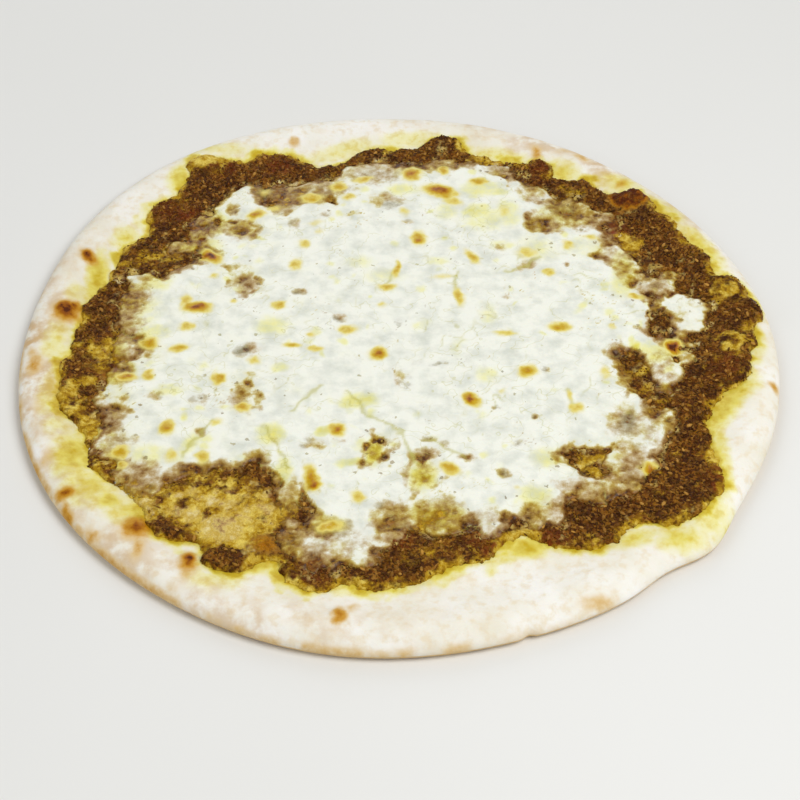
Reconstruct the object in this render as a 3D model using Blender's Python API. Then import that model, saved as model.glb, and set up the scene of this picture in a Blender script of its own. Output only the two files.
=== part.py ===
"""A round manakish: a flatbread spread with zaatar paste and covered with melted white cheese.

Metres, +Z up. The bread lies on z = 0, with the middle of its outline at the origin, and +Y points
away from the person who eats it. Three solids lie on each other: bread, zaatar and cheese. Each
layer is a sheet between two height functions, and takes its underside from the layer below it.
"""

import math
import random

import bmesh
import bpy
from mathutils import Matrix, Vector, noise
from mathutils.geometry import delaunay_2d_cdt

# --- Bread ------------------------------------------------------------------------------------
BREAD_RADIUS = 0.148
FLOOR_HEIGHT = 0.0045  # dough under the topping, pressed flat
EDGE_HEIGHT = 0.0034  # where the bread is widest
RIM_RISE = 0.0030  # of the rim's crest over the floor
RIM_WIDTH = 0.028  # from the edge in to the floor
CREST_INSET = 0.0085  # from the edge in to the crest
CREST_INSETS = (CREST_INSET, 0.0120)  # rings of corners on the crest
SHOULDER_INSETS = (0.0010, 0.0030, 0.0055)  # rings of corners between the edge and the crest
RIM_WAVES = 0.0003  # unevenness of the rim
FOOT_INSET = 0.0045  # from the edge in to where the underside lies flat
FOOT_INSETS = (0.0008, FOOT_INSET)  # rings of corners on the underside
# Where the outline leaves its circle: heading and width in degrees, then how far.
EDGE_SWELLS = (
    (128, 27, 0.0075),
    (235, 35, 0.0016),
    (-42, 5, 0.0034),
    (-49, 5, -0.0026),
    (-28, 9, -0.0008),
    (-90, 30, 0.0007),
    (0, 20, 0.0003),
)
# Where the rim puffs up more than elsewhere: heading and width in degrees, share of RIM_RISE.
RIM_PUFFS = ((172, 34, 0.35), (262, 30, 0.30), (-25, 22, 0.25), (110, 25, 0.15))
# Air bubbles that rose in the dough: x, y, radius, rise.
BREAD_BUBBLES = (
    (-0.1335, 0.022, 0.0060, 0.0016),
    (-0.0925, -0.091, 0.0070, 0.0012),
    (-0.0740, -0.107, 0.0050, 0.0012),
    (-0.0210, -0.132, 0.0042, 0.0008),
    (-0.1280, 0.055, 0.0045, 0.0010),
)
BUBBLE_CLEARANCE = 0.002  # from the paste to where a bubble has its full height

# --- Zaatar paste -----------------------------------------------------------------------------
PASTE_THICKNESS = 0.0015
PASTE_LUMPS = 0.0009  # how much higher the paste heaps where no cheese lies on it
# The paste ends in scallops, pressed out by the fingertips: x, y and radius of each.
PASTE_LOBES = (
    (0.1290, 0.032, 0.0100),
    (0.1325, 0.018, 0.0090),
    (0.1270, 0.005, 0.0100),
    (0.1260, -0.010, 0.0110),
    (0.1130, -0.025, 0.0100),
    (0.1060, -0.047, 0.0110),
    (0.1060, -0.061, 0.0115),
    (0.1060, -0.071, 0.0130),
    (0.1000, -0.085, 0.0070),
    (0.0700, -0.089, 0.0120),
    (0.0565, -0.090, 0.0100),
    (0.0260, -0.097, 0.0105),
    (0.0040, -0.104, 0.0120),
    (-0.0080, -0.108, 0.0110),
    (-0.0300, -0.110, 0.0105),
    (-0.0450, -0.100, 0.0080),
    (-0.0610, -0.102, 0.0105),
    (-0.0800, -0.088, 0.0100),
    (-0.0920, -0.074, 0.0070),
    (-0.1040, -0.062, 0.0080),
    (-0.1080, -0.052, 0.0090),
    (-0.1140, -0.040, 0.0060),
    (-0.1200, -0.028, 0.0110),
    (-0.1210, -0.011, 0.0110),
    (-0.1180, 0.006, 0.0110),
    (-0.1180, 0.024, 0.0100),
    (-0.1120, 0.041, 0.0090),
    (-0.1080, 0.058, 0.0090),
    (-0.0970, 0.082, 0.0105),
    (-0.0840, 0.096, 0.0120),
    (-0.0830, 0.115, 0.0075),
    (-0.0660, 0.110, 0.0100),
    (-0.0510, 0.113, 0.0115),
    (-0.0100, 0.118, 0.0115),
    (0.0060, 0.116, 0.0115),
    (0.0190, 0.126, 0.0090),
    (0.0330, 0.117, 0.0080),
    (0.0560, 0.110, 0.0100),
    (0.0770, 0.097, 0.0100),
    (0.1000, 0.089, 0.0085),
    (0.1100, 0.073, 0.0090),
    (0.1180, 0.052, 0.0110),
)
# Dough bubbles that lift the paste: x, y, radius, rise.
PASTE_BUBBLES = (
    (0.1010, 0.091, 0.0070, 0.0022),
    (0.1310, 0.033, 0.0070, 0.0014),
    (0.1310, 0.007, 0.0065, 0.0012),
    (-0.0840, 0.113, 0.0060, 0.0012),
    (-0.0465, -0.099, 0.0060, 0.0010),
    (-0.1270, -0.022, 0.0055, 0.0008),
)
SEED_LENGTH = 0.0033
SEED_WIDTH = 0.0021
SEED_THICKNESS = 0.0013
SEED_COUNT = 90
SEED_SPACING = 0.0080
SEED_TRIES = 6000
SEED_MARGIN = 0.0042  # clear of the cheese and of the paste's edge
SEED_SINK = 0.0001  # how deep a seed's middle lies in the paste

# --- Cheese -----------------------------------------------------------------------------------
CHEESE_THICKNESS = 0.0018
CHEESE_WAVES = 0.0007  # melted shreds, as relief
# The cheese ran out in tongues: x, y and radius of each.
CHEESE_LOBES = (
    (0.1080, 0.020, 0.0130),
    (0.0880, 0.046, 0.0100),
    (0.0740, 0.070, 0.0140),
    (0.0620, 0.086, 0.0080),
    (0.0450, 0.092, 0.0160),
    (0.0280, 0.106, 0.0140),
    (0.0050, 0.106, 0.0130),
    (-0.0150, 0.098, 0.0140),
    (-0.0380, 0.082, 0.0130),
    (-0.0680, 0.088, 0.0110),
    (-0.0720, 0.066, 0.0120),
    (-0.0820, 0.042, 0.0130),
    (-0.0990, 0.031, 0.0130),
    (-0.0970, 0.010, 0.0110),
    (-0.0980, -0.019, 0.0140),
    (-0.0960, -0.042, 0.0140),
    (-0.0900, -0.059, 0.0130),
    (-0.0640, -0.049, 0.0150),
    (-0.0400, -0.058, 0.0120),
    (-0.0260, -0.102, 0.0090),
    (-0.0170, -0.096, 0.0120),
    (-0.0060, -0.086, 0.0120),
    (0.0300, -0.078, 0.0140),
    (0.0500, -0.074, 0.0130),
    (0.0700, -0.064, 0.0130),
    (0.0850, -0.053, 0.0120),
    (0.0910, -0.036, 0.0130),
    (0.0970, -0.019, 0.0095),
    (0.0980, -0.006, 0.0120),
)
# Gaps in the cheese that show the paste: x, y, half length, half width, turn in degrees.
CHEESE_GAPS = (
    (0.1040, 0.016, 0.0085, 0.0050, 90),
    (0.0930, -0.013, 0.0125, 0.0045, -70),
    (0.0710, -0.060, 0.0090, 0.0050, -45),
    (0.0600, 0.077, 0.0040, 0.0030, 20),
    (-0.0660, 0.074, 0.0050, 0.0038, 90),
    (-0.0620, 0.040, 0.0060, 0.0032, -55),
    (-0.0600, -0.025, 0.0070, 0.0030, 80),
    (0.0095, -0.065, 0.0065, 0.0033, 85),
    (-0.0090, -0.054, 0.0060, 0.0030, 75),
)
# Browned blisters on the cheese: x, y, radius, rise.
CHEESE_BLISTERS = (
    (0.0080, 0.068, 0.0045, 0.0010),
    (-0.0780, 0.055, 0.0050, 0.0011),
    (-0.0820, 0.024, 0.0048, 0.0010),
    (-0.0320, -0.068, 0.0050, 0.0012),
    (0.0270, -0.027, 0.0045, 0.0011),
    (-0.0085, -0.001, 0.0042, 0.0010),
    (0.0490, -0.012, 0.0040, 0.0008),
    (-0.0240, -0.043, 0.0040, 0.0008),
    (0.0160, 0.100, 0.0065, 0.0010),
    (0.0360, 0.105, 0.0045, 0.0008),
    (-0.0610, 0.083, 0.0045, 0.0010),
    (0.0640, 0.013, 0.0042, 0.0008),
    (0.1080, 0.003, 0.0045, 0.0010),
    (-0.0980, 0.004, 0.0042, 0.0009),
    (-0.0880, -0.042, 0.0040, 0.0008),
    (-0.0140, -0.077, 0.0038, 0.0008),
)

# --- Making -----------------------------------------------------------------------------------
LAYER_GAP = 0.0004  # left between two layers
HIGH_ABOVE = 0.05  # over the whole manakish
DOWN = Vector((0, 0, -1))
EDGE_WALL = 0.0004  # height of a layer's edge
EDGE_ROUNDING = 0.0030  # a layer reaches its thickness this far in from its edge
PASTE_INSETS = (0.0008, EDGE_ROUNDING)  # rings of corners inside the paste's edge
CORNER_ROOM = 0.0008  # least room that a dome's corners leave to the rings
PASTE_UNDER_INSET = 0.0010  # from its edge in to the first corners of its underside
LIP_WIDTH = 0.0010  # from the cheese's edge in to its ring of corners
RANDOM_SEED = 7
LONG_WAVE = 0.050  # from hill to hill of the relief
MIDDLE_WAVE = 0.026
SHORT_WAVE = 0.0115
BREAD_SIDES = 110
PASTE_SIDES = 170
CHEESE_SIDES = 150
OUTLINE_STEPS = 1440  # points that an outline is measured by
GAP_SIDES = 10
FINE_GRAIN = 0.0060  # spacing of the corners of the triangles
COARSE_GRAIN = 0.0150
BUBBLE_CORNERS = 7
DOME_FULLNESS = 1.25  # above 1 a dome has a flat middle
LATTICE_REACH = 0.16  # the grid of corners covers this far from the middle


def ease(share):
    """0 below 0, 1 above 1, and a smooth step between them."""
    share = min(1.0, max(0.0, share))
    return share * share * (3 - 2 * share)


def wave(x, y, length, layer):
    """Smooth relief from -1 to 1 with hills about this far apart. Each layer has its own."""
    return noise.noise(Vector((x / length, y / length, 3.7 * layer)))


def heading_bump(angle, heading, width):
    """1 where the angle is at this heading, falling to 0 over this width. Both are in degrees."""
    off = (math.degrees(angle) - heading + 180) % 360 - 180
    return math.exp(-((off / width) ** 2))


def bubble_rise(x, y, bubbles):
    """The height of the dome that stands at a point, if any."""
    rise = 0.0
    for cx, cy, radius, height in bubbles:
        rise = max(rise, height * ease(DOME_FULLNESS * (1 - math.hypot(x - cx, y - cy) / radius)))
    return rise


def lobed_reach(angle, lobes):
    """How far a ray from the middle runs inside these discs and the polygon that joins their centres."""
    way = Vector((math.cos(angle), math.sin(angle)))
    spots = [(way.x * x + way.y * y, way.x * y - way.y * x, radius) for x, y, radius in lobes]
    reach = 0.0
    for (along, aside, radius), (next_along, next_aside, _) in zip(spots, spots[1:] + spots[:1]):
        if along > 0 and abs(aside) < radius:
            reach = max(reach, along + math.sqrt(radius**2 - aside**2))
        if aside * next_aside < 0:
            share = aside / (aside - next_aside)
            reach = max(reach, along + share * (next_along - along))
    return reach


def bread_reach(angle):
    swells = (far * heading_bump(angle, at, width) for at, width, far in EDGE_SWELLS)
    return BREAD_RADIUS + sum(swells)


def bread_cover(x, y):
    """How far inside the bread's edge a point lies."""
    return bread_reach(math.atan2(y, x)) - math.hypot(x, y)


def paste_reach(angle):
    return lobed_reach(angle, PASTE_LOBES)


def cheese_reach(angle):
    return lobed_reach(angle, CHEESE_LOBES)


def lobed_cover(x, y, lobes):
    """How far a point lies inside these discs and the polygon of their centres, less than 0 outside."""
    spot = Vector((x, y))
    centres = [Vector(lobe[:2]) for lobe in lobes]
    in_discs = max(lobe[2] - (spot - centre).length for lobe, centre in zip(lobes, centres))
    nearest = 1.0
    for start, end in zip(centres, centres[1:] + centres[:1]):
        along = end - start
        share = min(1.0, max(0.0, (spot - start).dot(along) / along.length_squared))
        nearest = min(nearest, (spot - start - share * along).length)
    return max(in_discs, nearest if enclosed(x, y, [centres]) else -nearest)


def paste_cover(x, y):
    return lobed_cover(x, y, PASTE_LOBES)


def gap_distance(x, y):
    """How far a point lies from the nearest gap in the cheese, less than 0 inside it."""
    nearest = 1.0
    for cx, cy, length, width, turn in CHEESE_GAPS:
        spot = Matrix.Rotation(-math.radians(turn), 2) @ Vector((x - cx, y - cy))
        nearest = min(nearest, (math.hypot(spot.x / length, spot.y / width) - 1) * width)
    return nearest


def cheese_cover(x, y):
    """How far a point lies inside the cheese, less than 0 where there is none."""
    return min(lobed_cover(x, y, CHEESE_LOBES), gap_distance(x, y))


def bread_top(x, y):
    """The bread's upper side: a flat floor, a rim with a crest, and a rounded shoulder."""
    angle = math.atan2(y, x)
    depth = max(0.0, bread_cover(x, y))
    puff = 1 + sum(more * heading_bump(angle, at, width) for at, width, more in RIM_PUFFS)
    slope = ease((RIM_WIDTH - depth) / (RIM_WIDTH - CREST_INSET))
    waves = RIM_WAVES * (wave(x, y, LONG_WAVE, 1) + wave(x, y, MIDDLE_WAVE, 2))
    height = FLOOR_HEIGHT + slope * (RIM_RISE * puff + waves)
    # Where paste weighs on the dough, no bubble rises.
    height += bubble_rise(x, y, BREAD_BUBBLES) * ease(-paste_cover(x, y) / BUBBLE_CLEARANCE)
    across = max(0.0, 1 - depth / CREST_INSET)
    return EDGE_HEIGHT + (height - EDGE_HEIGHT) * math.sqrt(1 - across**2)


def bread_bottom(x, y):
    """The underside, flat apart from its rounded edge."""
    across = max(0.0, 1 - max(0.0, bread_cover(x, y)) / FOOT_INSET)
    return EDGE_HEIGHT * (1 - math.sqrt(1 - across**2))


def rounded(depth):
    """A layer's share of its full thickness this far in from its edge."""
    across = 1 - min(1.0, max(0.0, depth) / EDGE_ROUNDING)
    return math.sqrt(1 - across**2)


def paste_top(x, y):
    """Smooth where cheese lies on the paste, and lumpy where it shows."""
    bare = ease((-cheese_cover(x, y) - FINE_GRAIN) / FINE_GRAIN)
    lumps = PASTE_LUMPS * (0.55 + 0.9 * wave(x, y, SHORT_WAVE, 3))
    thickness = PASTE_THICKNESS + bare * (lumps + bubble_rise(x, y, PASTE_BUBBLES))
    return bread_top(x, y) + LAYER_GAP + thickness * rounded(paste_cover(x, y))


def cheese_top(x, y):
    """Waves of melted shreds, with blisters on them."""
    waves = CHEESE_WAVES * (wave(x, y, MIDDLE_WAVE, 4) + 0.7 * wave(x, y, SHORT_WAVE, 5))
    thickness = CHEESE_THICKNESS + waves + bubble_rise(x, y, CHEESE_BLISTERS)
    resting = bread_top(x, y) + LAYER_GAP + PASTE_THICKNESS + LAYER_GAP
    return resting + thickness * rounded(cheese_cover(x, y))


def laid_on(below):
    """The height of a layer's underside: a gap above the solid that it lies on."""
    graph = bpy.context.evaluated_depsgraph_get()

    def height(x, y):
        return below.ray_cast(Vector((x, y, HIGH_ABOVE)), DOWN, depsgraph=graph)[1].z + LAYER_GAP

    return height


def ring(reach, sides):
    """Corners at equal steps along an outline."""
    turns = [math.tau * i / OUTLINE_STEPS for i in range(OUTLINE_STEPS)]
    path = [reach(turn) * Vector((math.cos(turn), math.sin(turn))) for turn in turns]
    run = [0.0]
    for here, after in zip(path, path[1:] + path[:1]):
        run.append(run[-1] + (after - here).length)
    corners, step = [], 0
    for i in range(sides):
        while run[step + 1] < run[-1] * i / sides:
            step += 1
        share = (run[-1] * i / sides - run[step]) / (run[step + 1] - run[step])
        corners.append(path[step].lerp(path[(step + 1) % OUTLINE_STEPS], share))
    return corners


def gap_ring(gap):
    """Corners round a gap in the cheese, clockwise, so that the cheese is on their left."""
    cx, cy, length, width, turn = gap
    spin = Matrix.Rotation(math.radians(turn), 2)
    turns = [-math.tau * i / GAP_SIDES for i in range(GAP_SIDES)]
    return [Vector((cx, cy)) + spin @ Vector((length * math.cos(a), width * math.sin(a))) for a in turns]


def inner_ring(loop, depth, cover):
    """Corners this far to the left of a loop, apart from those that a narrow place leaves no room for."""
    corners = []
    for before, here, after in zip(loop[-1:] + loop[:-1], loop, loop[1:] + loop[:1]):
        side = (after - before).normalized()
        corners.append(here + depth * Vector((-side.y, side.x)))
    return [corner for corner in corners if cover(*corner) > 0.7 * depth]


def lattice(spacing, wanted):
    """The points of a triangular grid that are wanted."""
    row = spacing * math.sqrt(3) / 2
    columns, rows = int(LATTICE_REACH / spacing) + 1, int(LATTICE_REACH / row) + 1
    points = []
    for j in range(-rows, rows + 1):
        for i in range(-columns, columns + 1):
            x, y = spacing * (i + 0.5 * (j % 2)), row * j
            if wanted(x, y):
                points.append((x, y))
    return points


def bubble_points(bubbles, wanted):
    """A centre and two circles of corners for each dome, so that its shape shows."""
    points = []
    for cx, cy, radius, _ in bubbles:
        points.append((cx, cy))
        for share, start in ((0.55, 0.0), (1.0, 0.5)):
            for i in range(BUBBLE_CORNERS):
                a = math.tau * (i + start) / BUBBLE_CORNERS
                points.append((cx + share * radius * math.cos(a), cy + share * radius * math.sin(a)))
    return [p for p in points if wanted(*p)]


def clear_of(bubbles, x, y):
    """Whether a point is far enough from every dome to leave its own corners room."""
    return all(math.hypot(x - cx, y - cy) > 1.5 * radius for cx, cy, radius, _ in bubbles)


def enclosed(x, y, loops):
    """Whether a ray from a point crosses the loops an odd number of times: it is in one, and in no gap."""
    crossed = False
    for loop in loops:
        for (ax, ay), (bx, by) in zip(loop, loop[1:] + loop[:1]):
            if (ay > y) != (by > y) and x < ax + (y - ay) * (bx - ax) / (by - ay):
                crossed = not crossed
    return crossed


def triangles(loops, inner):
    """Corners and triangles in the plane that fill the loops and use the inner points."""
    corners, edges = [], []
    for loop in loops:
        first = len(corners)
        corners += [Vector(p) for p in loop]
        edges += [(first + i, first + (i + 1) % len(loop)) for i in range(len(loop))]
    corners += [Vector(p) for p in inner]
    corners, _, faces, *_ = delaunay_2d_cdt(corners, edges, [], 0, 1e-6)
    middles = [sum((corners[i] for i in face), Vector((0, 0))) / 3 for face in faces]
    return corners, [face for face, middle in zip(faces, middles) if enclosed(*middle, loops)]


def sheet(name, loops, over, under, top, bottom):
    """A closed solid between two height functions, with a low wall round it along the loops."""
    rim_count = sum(len(loop) for loop in loops)
    upper, upper_faces = triangles(loops, over)
    lower, lower_faces = triangles(loops, under)
    bm = bmesh.new()
    high = [bm.verts.new((p.x, p.y, bottom(*p) + EDGE_WALL)) for p in upper[:rim_count]]
    high += [bm.verts.new((p.x, p.y, top(*p))) for p in upper[rim_count:]]
    low = [bm.verts.new((p.x, p.y, bottom(*p))) for p in lower]
    for face in upper_faces:
        bm.faces.new([high[i] for i in face])
    for face in lower_faces:
        bm.faces.new([low[i] for i in reversed(face)])
    first = 0
    for loop in loops:
        for i in range(len(loop)):
            here, after = first + i, first + (i + 1) % len(loop)
            bm.faces.new((low[here], low[after], high[after]))
            bm.faces.new((low[here], high[after], high[here]))
        first += len(loop)
    bmesh.ops.delete(bm, geom=[v for v in bm.verts if not v.link_faces], context="VERTS")
    mesh = bpy.data.meshes.new(name)
    bm.to_mesh(mesh)
    bm.free()
    mesh.shade_smooth()
    return place(name, mesh)


def place(name, mesh):
    obj = bpy.data.objects.new(name, mesh)
    bpy.context.scene.collection.objects.link(obj)
    return obj


def paint(obj, colour, roughness):
    """One plain material, with the colour that the layer mostly has."""
    material = bpy.data.materials.new(obj.name)
    material.use_nodes = True
    shader = material.node_tree.nodes["Principled BSDF"]
    shader.inputs["Base Color"].default_value = (*colour, 1)
    shader.inputs["Roughness"].default_value = roughness
    shader.inputs["Metallic"].default_value = 0
    obj.data.materials.clear()
    obj.data.materials.append(material)


def floor_corners(wanted):
    """The bread's corners from its crest inwards: close on the rim's slope, wide on the flat floor."""
    crest = [p for at in CREST_INSETS for p in inner_ring(ring(bread_reach, BREAD_SIDES), at, bread_cover)]

    def on_slope(x, y):
        return CREST_INSETS[-1] + 0.6 * FINE_GRAIN < bread_cover(x, y) < RIM_WIDTH + 0.6 * FINE_GRAIN

    def on_floor(x, y):
        return bread_cover(x, y) > RIM_WIDTH + 0.6 * FINE_GRAIN + 0.3 * COARSE_GRAIN

    corners = crest + lattice(FINE_GRAIN, on_slope) + lattice(COARSE_GRAIN, on_floor)
    return [p for p in corners if wanted(*p)]


def make_bread():
    def bare(x, y):
        return paste_cover(x, y) < 0 and bread_cover(x, y) > SHOULDER_INSETS[-1] + CORNER_ROOM

    def clear_of_bubbles(x, y):
        return not bare(x, y) or clear_of(BREAD_BUBBLES, x, y)

    edge = ring(bread_reach, BREAD_SIDES)
    over = [p for at in SHOULDER_INSETS for p in inner_ring(edge, at, bread_cover)]
    over += floor_corners(clear_of_bubbles) + bubble_points(BREAD_BUBBLES, bare)
    under = [p for at in FOOT_INSETS for p in inner_ring(edge, at, bread_cover)]
    return sheet("bread", [edge], over, under, bread_top, bread_bottom)


def make_paste(bread):
    def fine(x, y):
        deep = paste_cover(x, y) > EDGE_ROUNDING + 0.45 * FINE_GRAIN
        return deep and cheese_cover(x, y) < FINE_GRAIN and clear_of(PASTE_BUBBLES, x, y)

    def coarse(x, y):
        return cheese_cover(x, y) > FINE_GRAIN + 0.4 * COARSE_GRAIN

    def clear_of_edge(x, y):
        return paste_cover(x, y) > EDGE_ROUNDING + CORNER_ROOM

    def well_inside(x, y):
        return paste_cover(x, y) > PASTE_UNDER_INSET

    edge = ring(paste_reach, PASTE_SIDES)
    over = [p for at in PASTE_INSETS for p in inner_ring(edge, at, paste_cover)]
    over += lattice(FINE_GRAIN, fine) + lattice(COARSE_GRAIN, coarse)
    over += bubble_points(PASTE_BUBBLES, clear_of_edge)
    # The underside has the bread's own corners, so the two surfaces run side by side.
    return sheet("zaatar", [edge], over, floor_corners(well_inside), paste_top, laid_on(bread))


def make_cheese(paste):
    def fine(x, y):
        return cheese_cover(x, y) > EDGE_ROUNDING + 0.45 * FINE_GRAIN and clear_of(CHEESE_BLISTERS, x, y)

    def clear_of_edge(x, y):
        return cheese_cover(x, y) > EDGE_ROUNDING

    loops = [ring(cheese_reach, CHEESE_SIDES)] + [gap_ring(gap) for gap in CHEESE_GAPS]
    over = [p for loop in loops for p in inner_ring(loop, LIP_WIDTH, cheese_cover)]
    over += lattice(FINE_GRAIN, fine) + bubble_points(CHEESE_BLISTERS, clear_of_edge)
    return sheet("cheese", loops, over, floor_corners(clear_of_edge), cheese_top, laid_on(paste))


def seed_places(rng):
    """Spots spread evenly over the bare paste, with a heading for each."""
    places = []
    for _ in range(SEED_TRIES):
        x, y = rng.uniform(-BREAD_RADIUS, BREAD_RADIUS), rng.uniform(-BREAD_RADIUS, BREAD_RADIUS)
        turn = rng.uniform(0, math.tau)
        if -cheese_cover(x, y) < SEED_MARGIN or paste_cover(x, y) < SEED_MARGIN:
            continue
        if all(math.hypot(x - px, y - py) > SEED_SPACING for px, py, _ in places):
            places.append((x, y, turn))
    return places[:SEED_COUNT]


def seed_shape():
    """One sesame seed, pointed at one end."""
    bm = bmesh.new()
    bmesh.ops.create_uvsphere(bm, u_segments=5, v_segments=4, radius=0.5)
    bmesh.ops.rotate(bm, verts=bm.verts, matrix=Matrix.Rotation(math.pi / 2, 3, "Y"))
    for v in bm.verts:
        taper = 1 - 0.5 * max(0.0, v.co.x)
        v.co = Vector((v.co.x * SEED_LENGTH, v.co.y * taper * SEED_WIDTH, v.co.z * taper * SEED_THICKNESS))
    bmesh.ops.triangulate(bm, faces=bm.faces)
    mesh = bpy.data.meshes.new("sesame")
    bm.to_mesh(mesh)
    bm.free()
    return mesh


def press_seeds_in(paste):
    """Sesame seeds lie half sunk in the bare paste, each level with it, and are one solid with it."""
    rng = random.Random(RANDOM_SEED)
    seeds = bpy.data.collections.new("sesame")
    shape = seed_shape()
    ground = paste.data
    graph = bpy.context.evaluated_depsgraph_get()
    for x, y, turn in seed_places(rng):
        _, spot, normal, _ = paste.ray_cast(Vector((x, y, HIGH_ABOVE)), DOWN, depsgraph=graph)
        tilt = (-DOWN).rotation_difference(normal).to_matrix().to_4x4()
        seed = bpy.data.objects.new("sesame", shape)
        settled = Matrix.Translation(spot - SEED_SINK * normal) @ tilt
        seed.matrix_world = settled @ Matrix.Rotation(turn, 4, "Z")
        seeds.objects.link(seed)
    bpy.context.scene.collection.children.link(seeds)
    union = paste.modifiers.new("seeds", "BOOLEAN")
    union.operation = "UNION"
    union.operand_type = "COLLECTION"
    union.collection = seeds
    union.solver = "MANIFOLD"
    bpy.context.view_layer.update()
    fused = bpy.data.meshes.new_from_object(paste.evaluated_get(bpy.context.evaluated_depsgraph_get()))
    paste.modifiers.remove(union)
    paste.data = fused
    for seed in list(seeds.objects):
        bpy.data.objects.remove(seed)
    bpy.data.collections.remove(seeds)
    bpy.data.meshes.remove(ground)
    bpy.data.meshes.remove(shape)


def main():
    for obj in list(bpy.data.objects):
        bpy.data.objects.remove(obj)
    bread = make_bread()
    bpy.context.view_layer.update()
    paste = make_paste(bread)
    bpy.context.view_layer.update()
    press_seeds_in(paste)
    bpy.context.view_layer.update()
    cheese = make_cheese(paste)
    paint(bread, (0.80, 0.68, 0.47), 0.75)
    paint(paste, (0.11, 0.06, 0.015), 0.50)
    paint(cheese, (0.83, 0.83, 0.77), 0.35)


main()
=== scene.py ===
"""The looks of a round manakish: bread, zaatar paste and melted cheese, fine meshes over plain solids.

Metres, +Z up, in the solids' own frame. The outlines of the three layers are read from the solids. The
rest is worked out on one square grid of points seen from above, the plan: heights, and masks such as
toast or oil, which the meshes carry as attributes and the materials read.

In the tables of places, sizes are in millimetres and turns in degrees. A spot's row says x, y, half
length, half width, turn and strength, an oval's the same without a strength, a bubble's x, y, radius and
rise, and that of a stretch of the edge its heading, its width in degrees and its strength. Waves say the
height, size and seed of each layer of clouds, in metres, and its octaves where they aren't three.
"""

import math

import bmesh
import bpy
import numpy as np
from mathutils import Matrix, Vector
from mathutils.bvhtree import BVHTree
from mathutils.geometry import delaunay_2d_cdt
from mathutils.kdtree import KDTree


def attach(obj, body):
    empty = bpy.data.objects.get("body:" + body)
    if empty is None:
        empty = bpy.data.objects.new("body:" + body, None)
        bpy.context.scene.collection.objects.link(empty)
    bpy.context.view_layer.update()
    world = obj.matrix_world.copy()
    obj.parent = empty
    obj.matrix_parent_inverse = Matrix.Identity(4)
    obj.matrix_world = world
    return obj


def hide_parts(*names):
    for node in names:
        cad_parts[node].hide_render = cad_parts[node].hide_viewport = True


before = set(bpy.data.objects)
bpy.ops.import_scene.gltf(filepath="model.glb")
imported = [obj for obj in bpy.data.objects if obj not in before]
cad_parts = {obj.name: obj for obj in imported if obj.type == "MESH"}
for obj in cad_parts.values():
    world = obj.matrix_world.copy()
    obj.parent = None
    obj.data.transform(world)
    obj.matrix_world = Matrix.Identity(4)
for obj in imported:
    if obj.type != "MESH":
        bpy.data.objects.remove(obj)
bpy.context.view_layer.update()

# --- Plan -----------------------------------------------------------------------------------------
PLAN_STEP = 0.00065  # between the points of the plan
PLAN_HALF = 0.1531  # from its middle to its sides
MM = 0.001
AXIS = np.arange(-PLAN_HALF, PLAN_HALF, PLAN_STEP)
X, Y = np.meshgrid(AXIS, AXIS)
NOISE_TILE = 256
HIGH_ABOVE = 0.05  # over all the solids
DOWN = Vector((0, 0, -1))
SHIFT = 0.0012  # the toppings lie this much nearer than those of the solids
SWAY = 0.0006  # spots sway from true ovals by up to about this much
EDGE_SINK = 0.00015  # a layer's underside reaches this far into the layer below
EDGE_LIP = 0.00012  # its very edge stands this far above that layer

# --- Bread: the same sizes as its solid -----------------------------------------------------------
FLOOR_HEIGHT = 0.0045
EDGE_HEIGHT = 0.0034
OUTLINE_HEIGHT = EDGE_HEIGHT + 0.0002  # where the solid's outline is measured
RIM_RISE = 0.0030
RIM_WIDTH = 0.028
CREST_INSET = 0.0085
FOOT_INSET = 0.0045
BREAD_WAVES = ((0.0003, 0.040, 1), (0.00022, 0.013, 2))
RIM_PUFFS = ((172, 34, 0.35), (262, 30, 0.30), (-25, 22, 0.25), (110, 25, 0.15))
BREAD_BUBBLES = (
    (-133.5, 22, 6, 1.6), (-92.5, -91, 7, 1.2), (-74, -107, 5, 1.2), (-21, -132, 4.2, 0.8),
    (-128, 55, 4.5, 1),
)
# Where the edge leaves that of the solid, in metres and not as a strength. The last is a nick.
EDGE_TRIMS = (
    (236, 24, -0.0029), (286, 25, -0.0029), (76, 20, 0.002), (105, 16, 0.001), (8, 14, 0.001),
    (150, 14, 0.0011), (-72, 0.9, -0.0011),
)
# Small bubbles all over its bare skin: how many, their radius and height.
SKIN_BUBBLES = 170
SKIN_BUBBLE_SIZES = (0.0012, 0.0042)
SKIN_BUBBLE_HEIGHTS = (0.00006, 0.00026)
# Its mesh: sectors round it, rings on the crest and on the foot, and rings this close down to this depth.
BREAD_SECTORS = 900
CREST_RINGS = 15
FOOT_RINGS = 7
FINE_RING = 0.0006
FINE_DEPTH = 0.042
# Further in, rings at these shares of the way from the middle.
TOP_SHARES = (0.75, 0.45, 0.15)
UNDERSIDE_SHARES = (0.93, 0.8, 0.6, 0.35, 0.12)
UNDERSIDE_TOAST = 0.30  # at its edge
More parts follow.
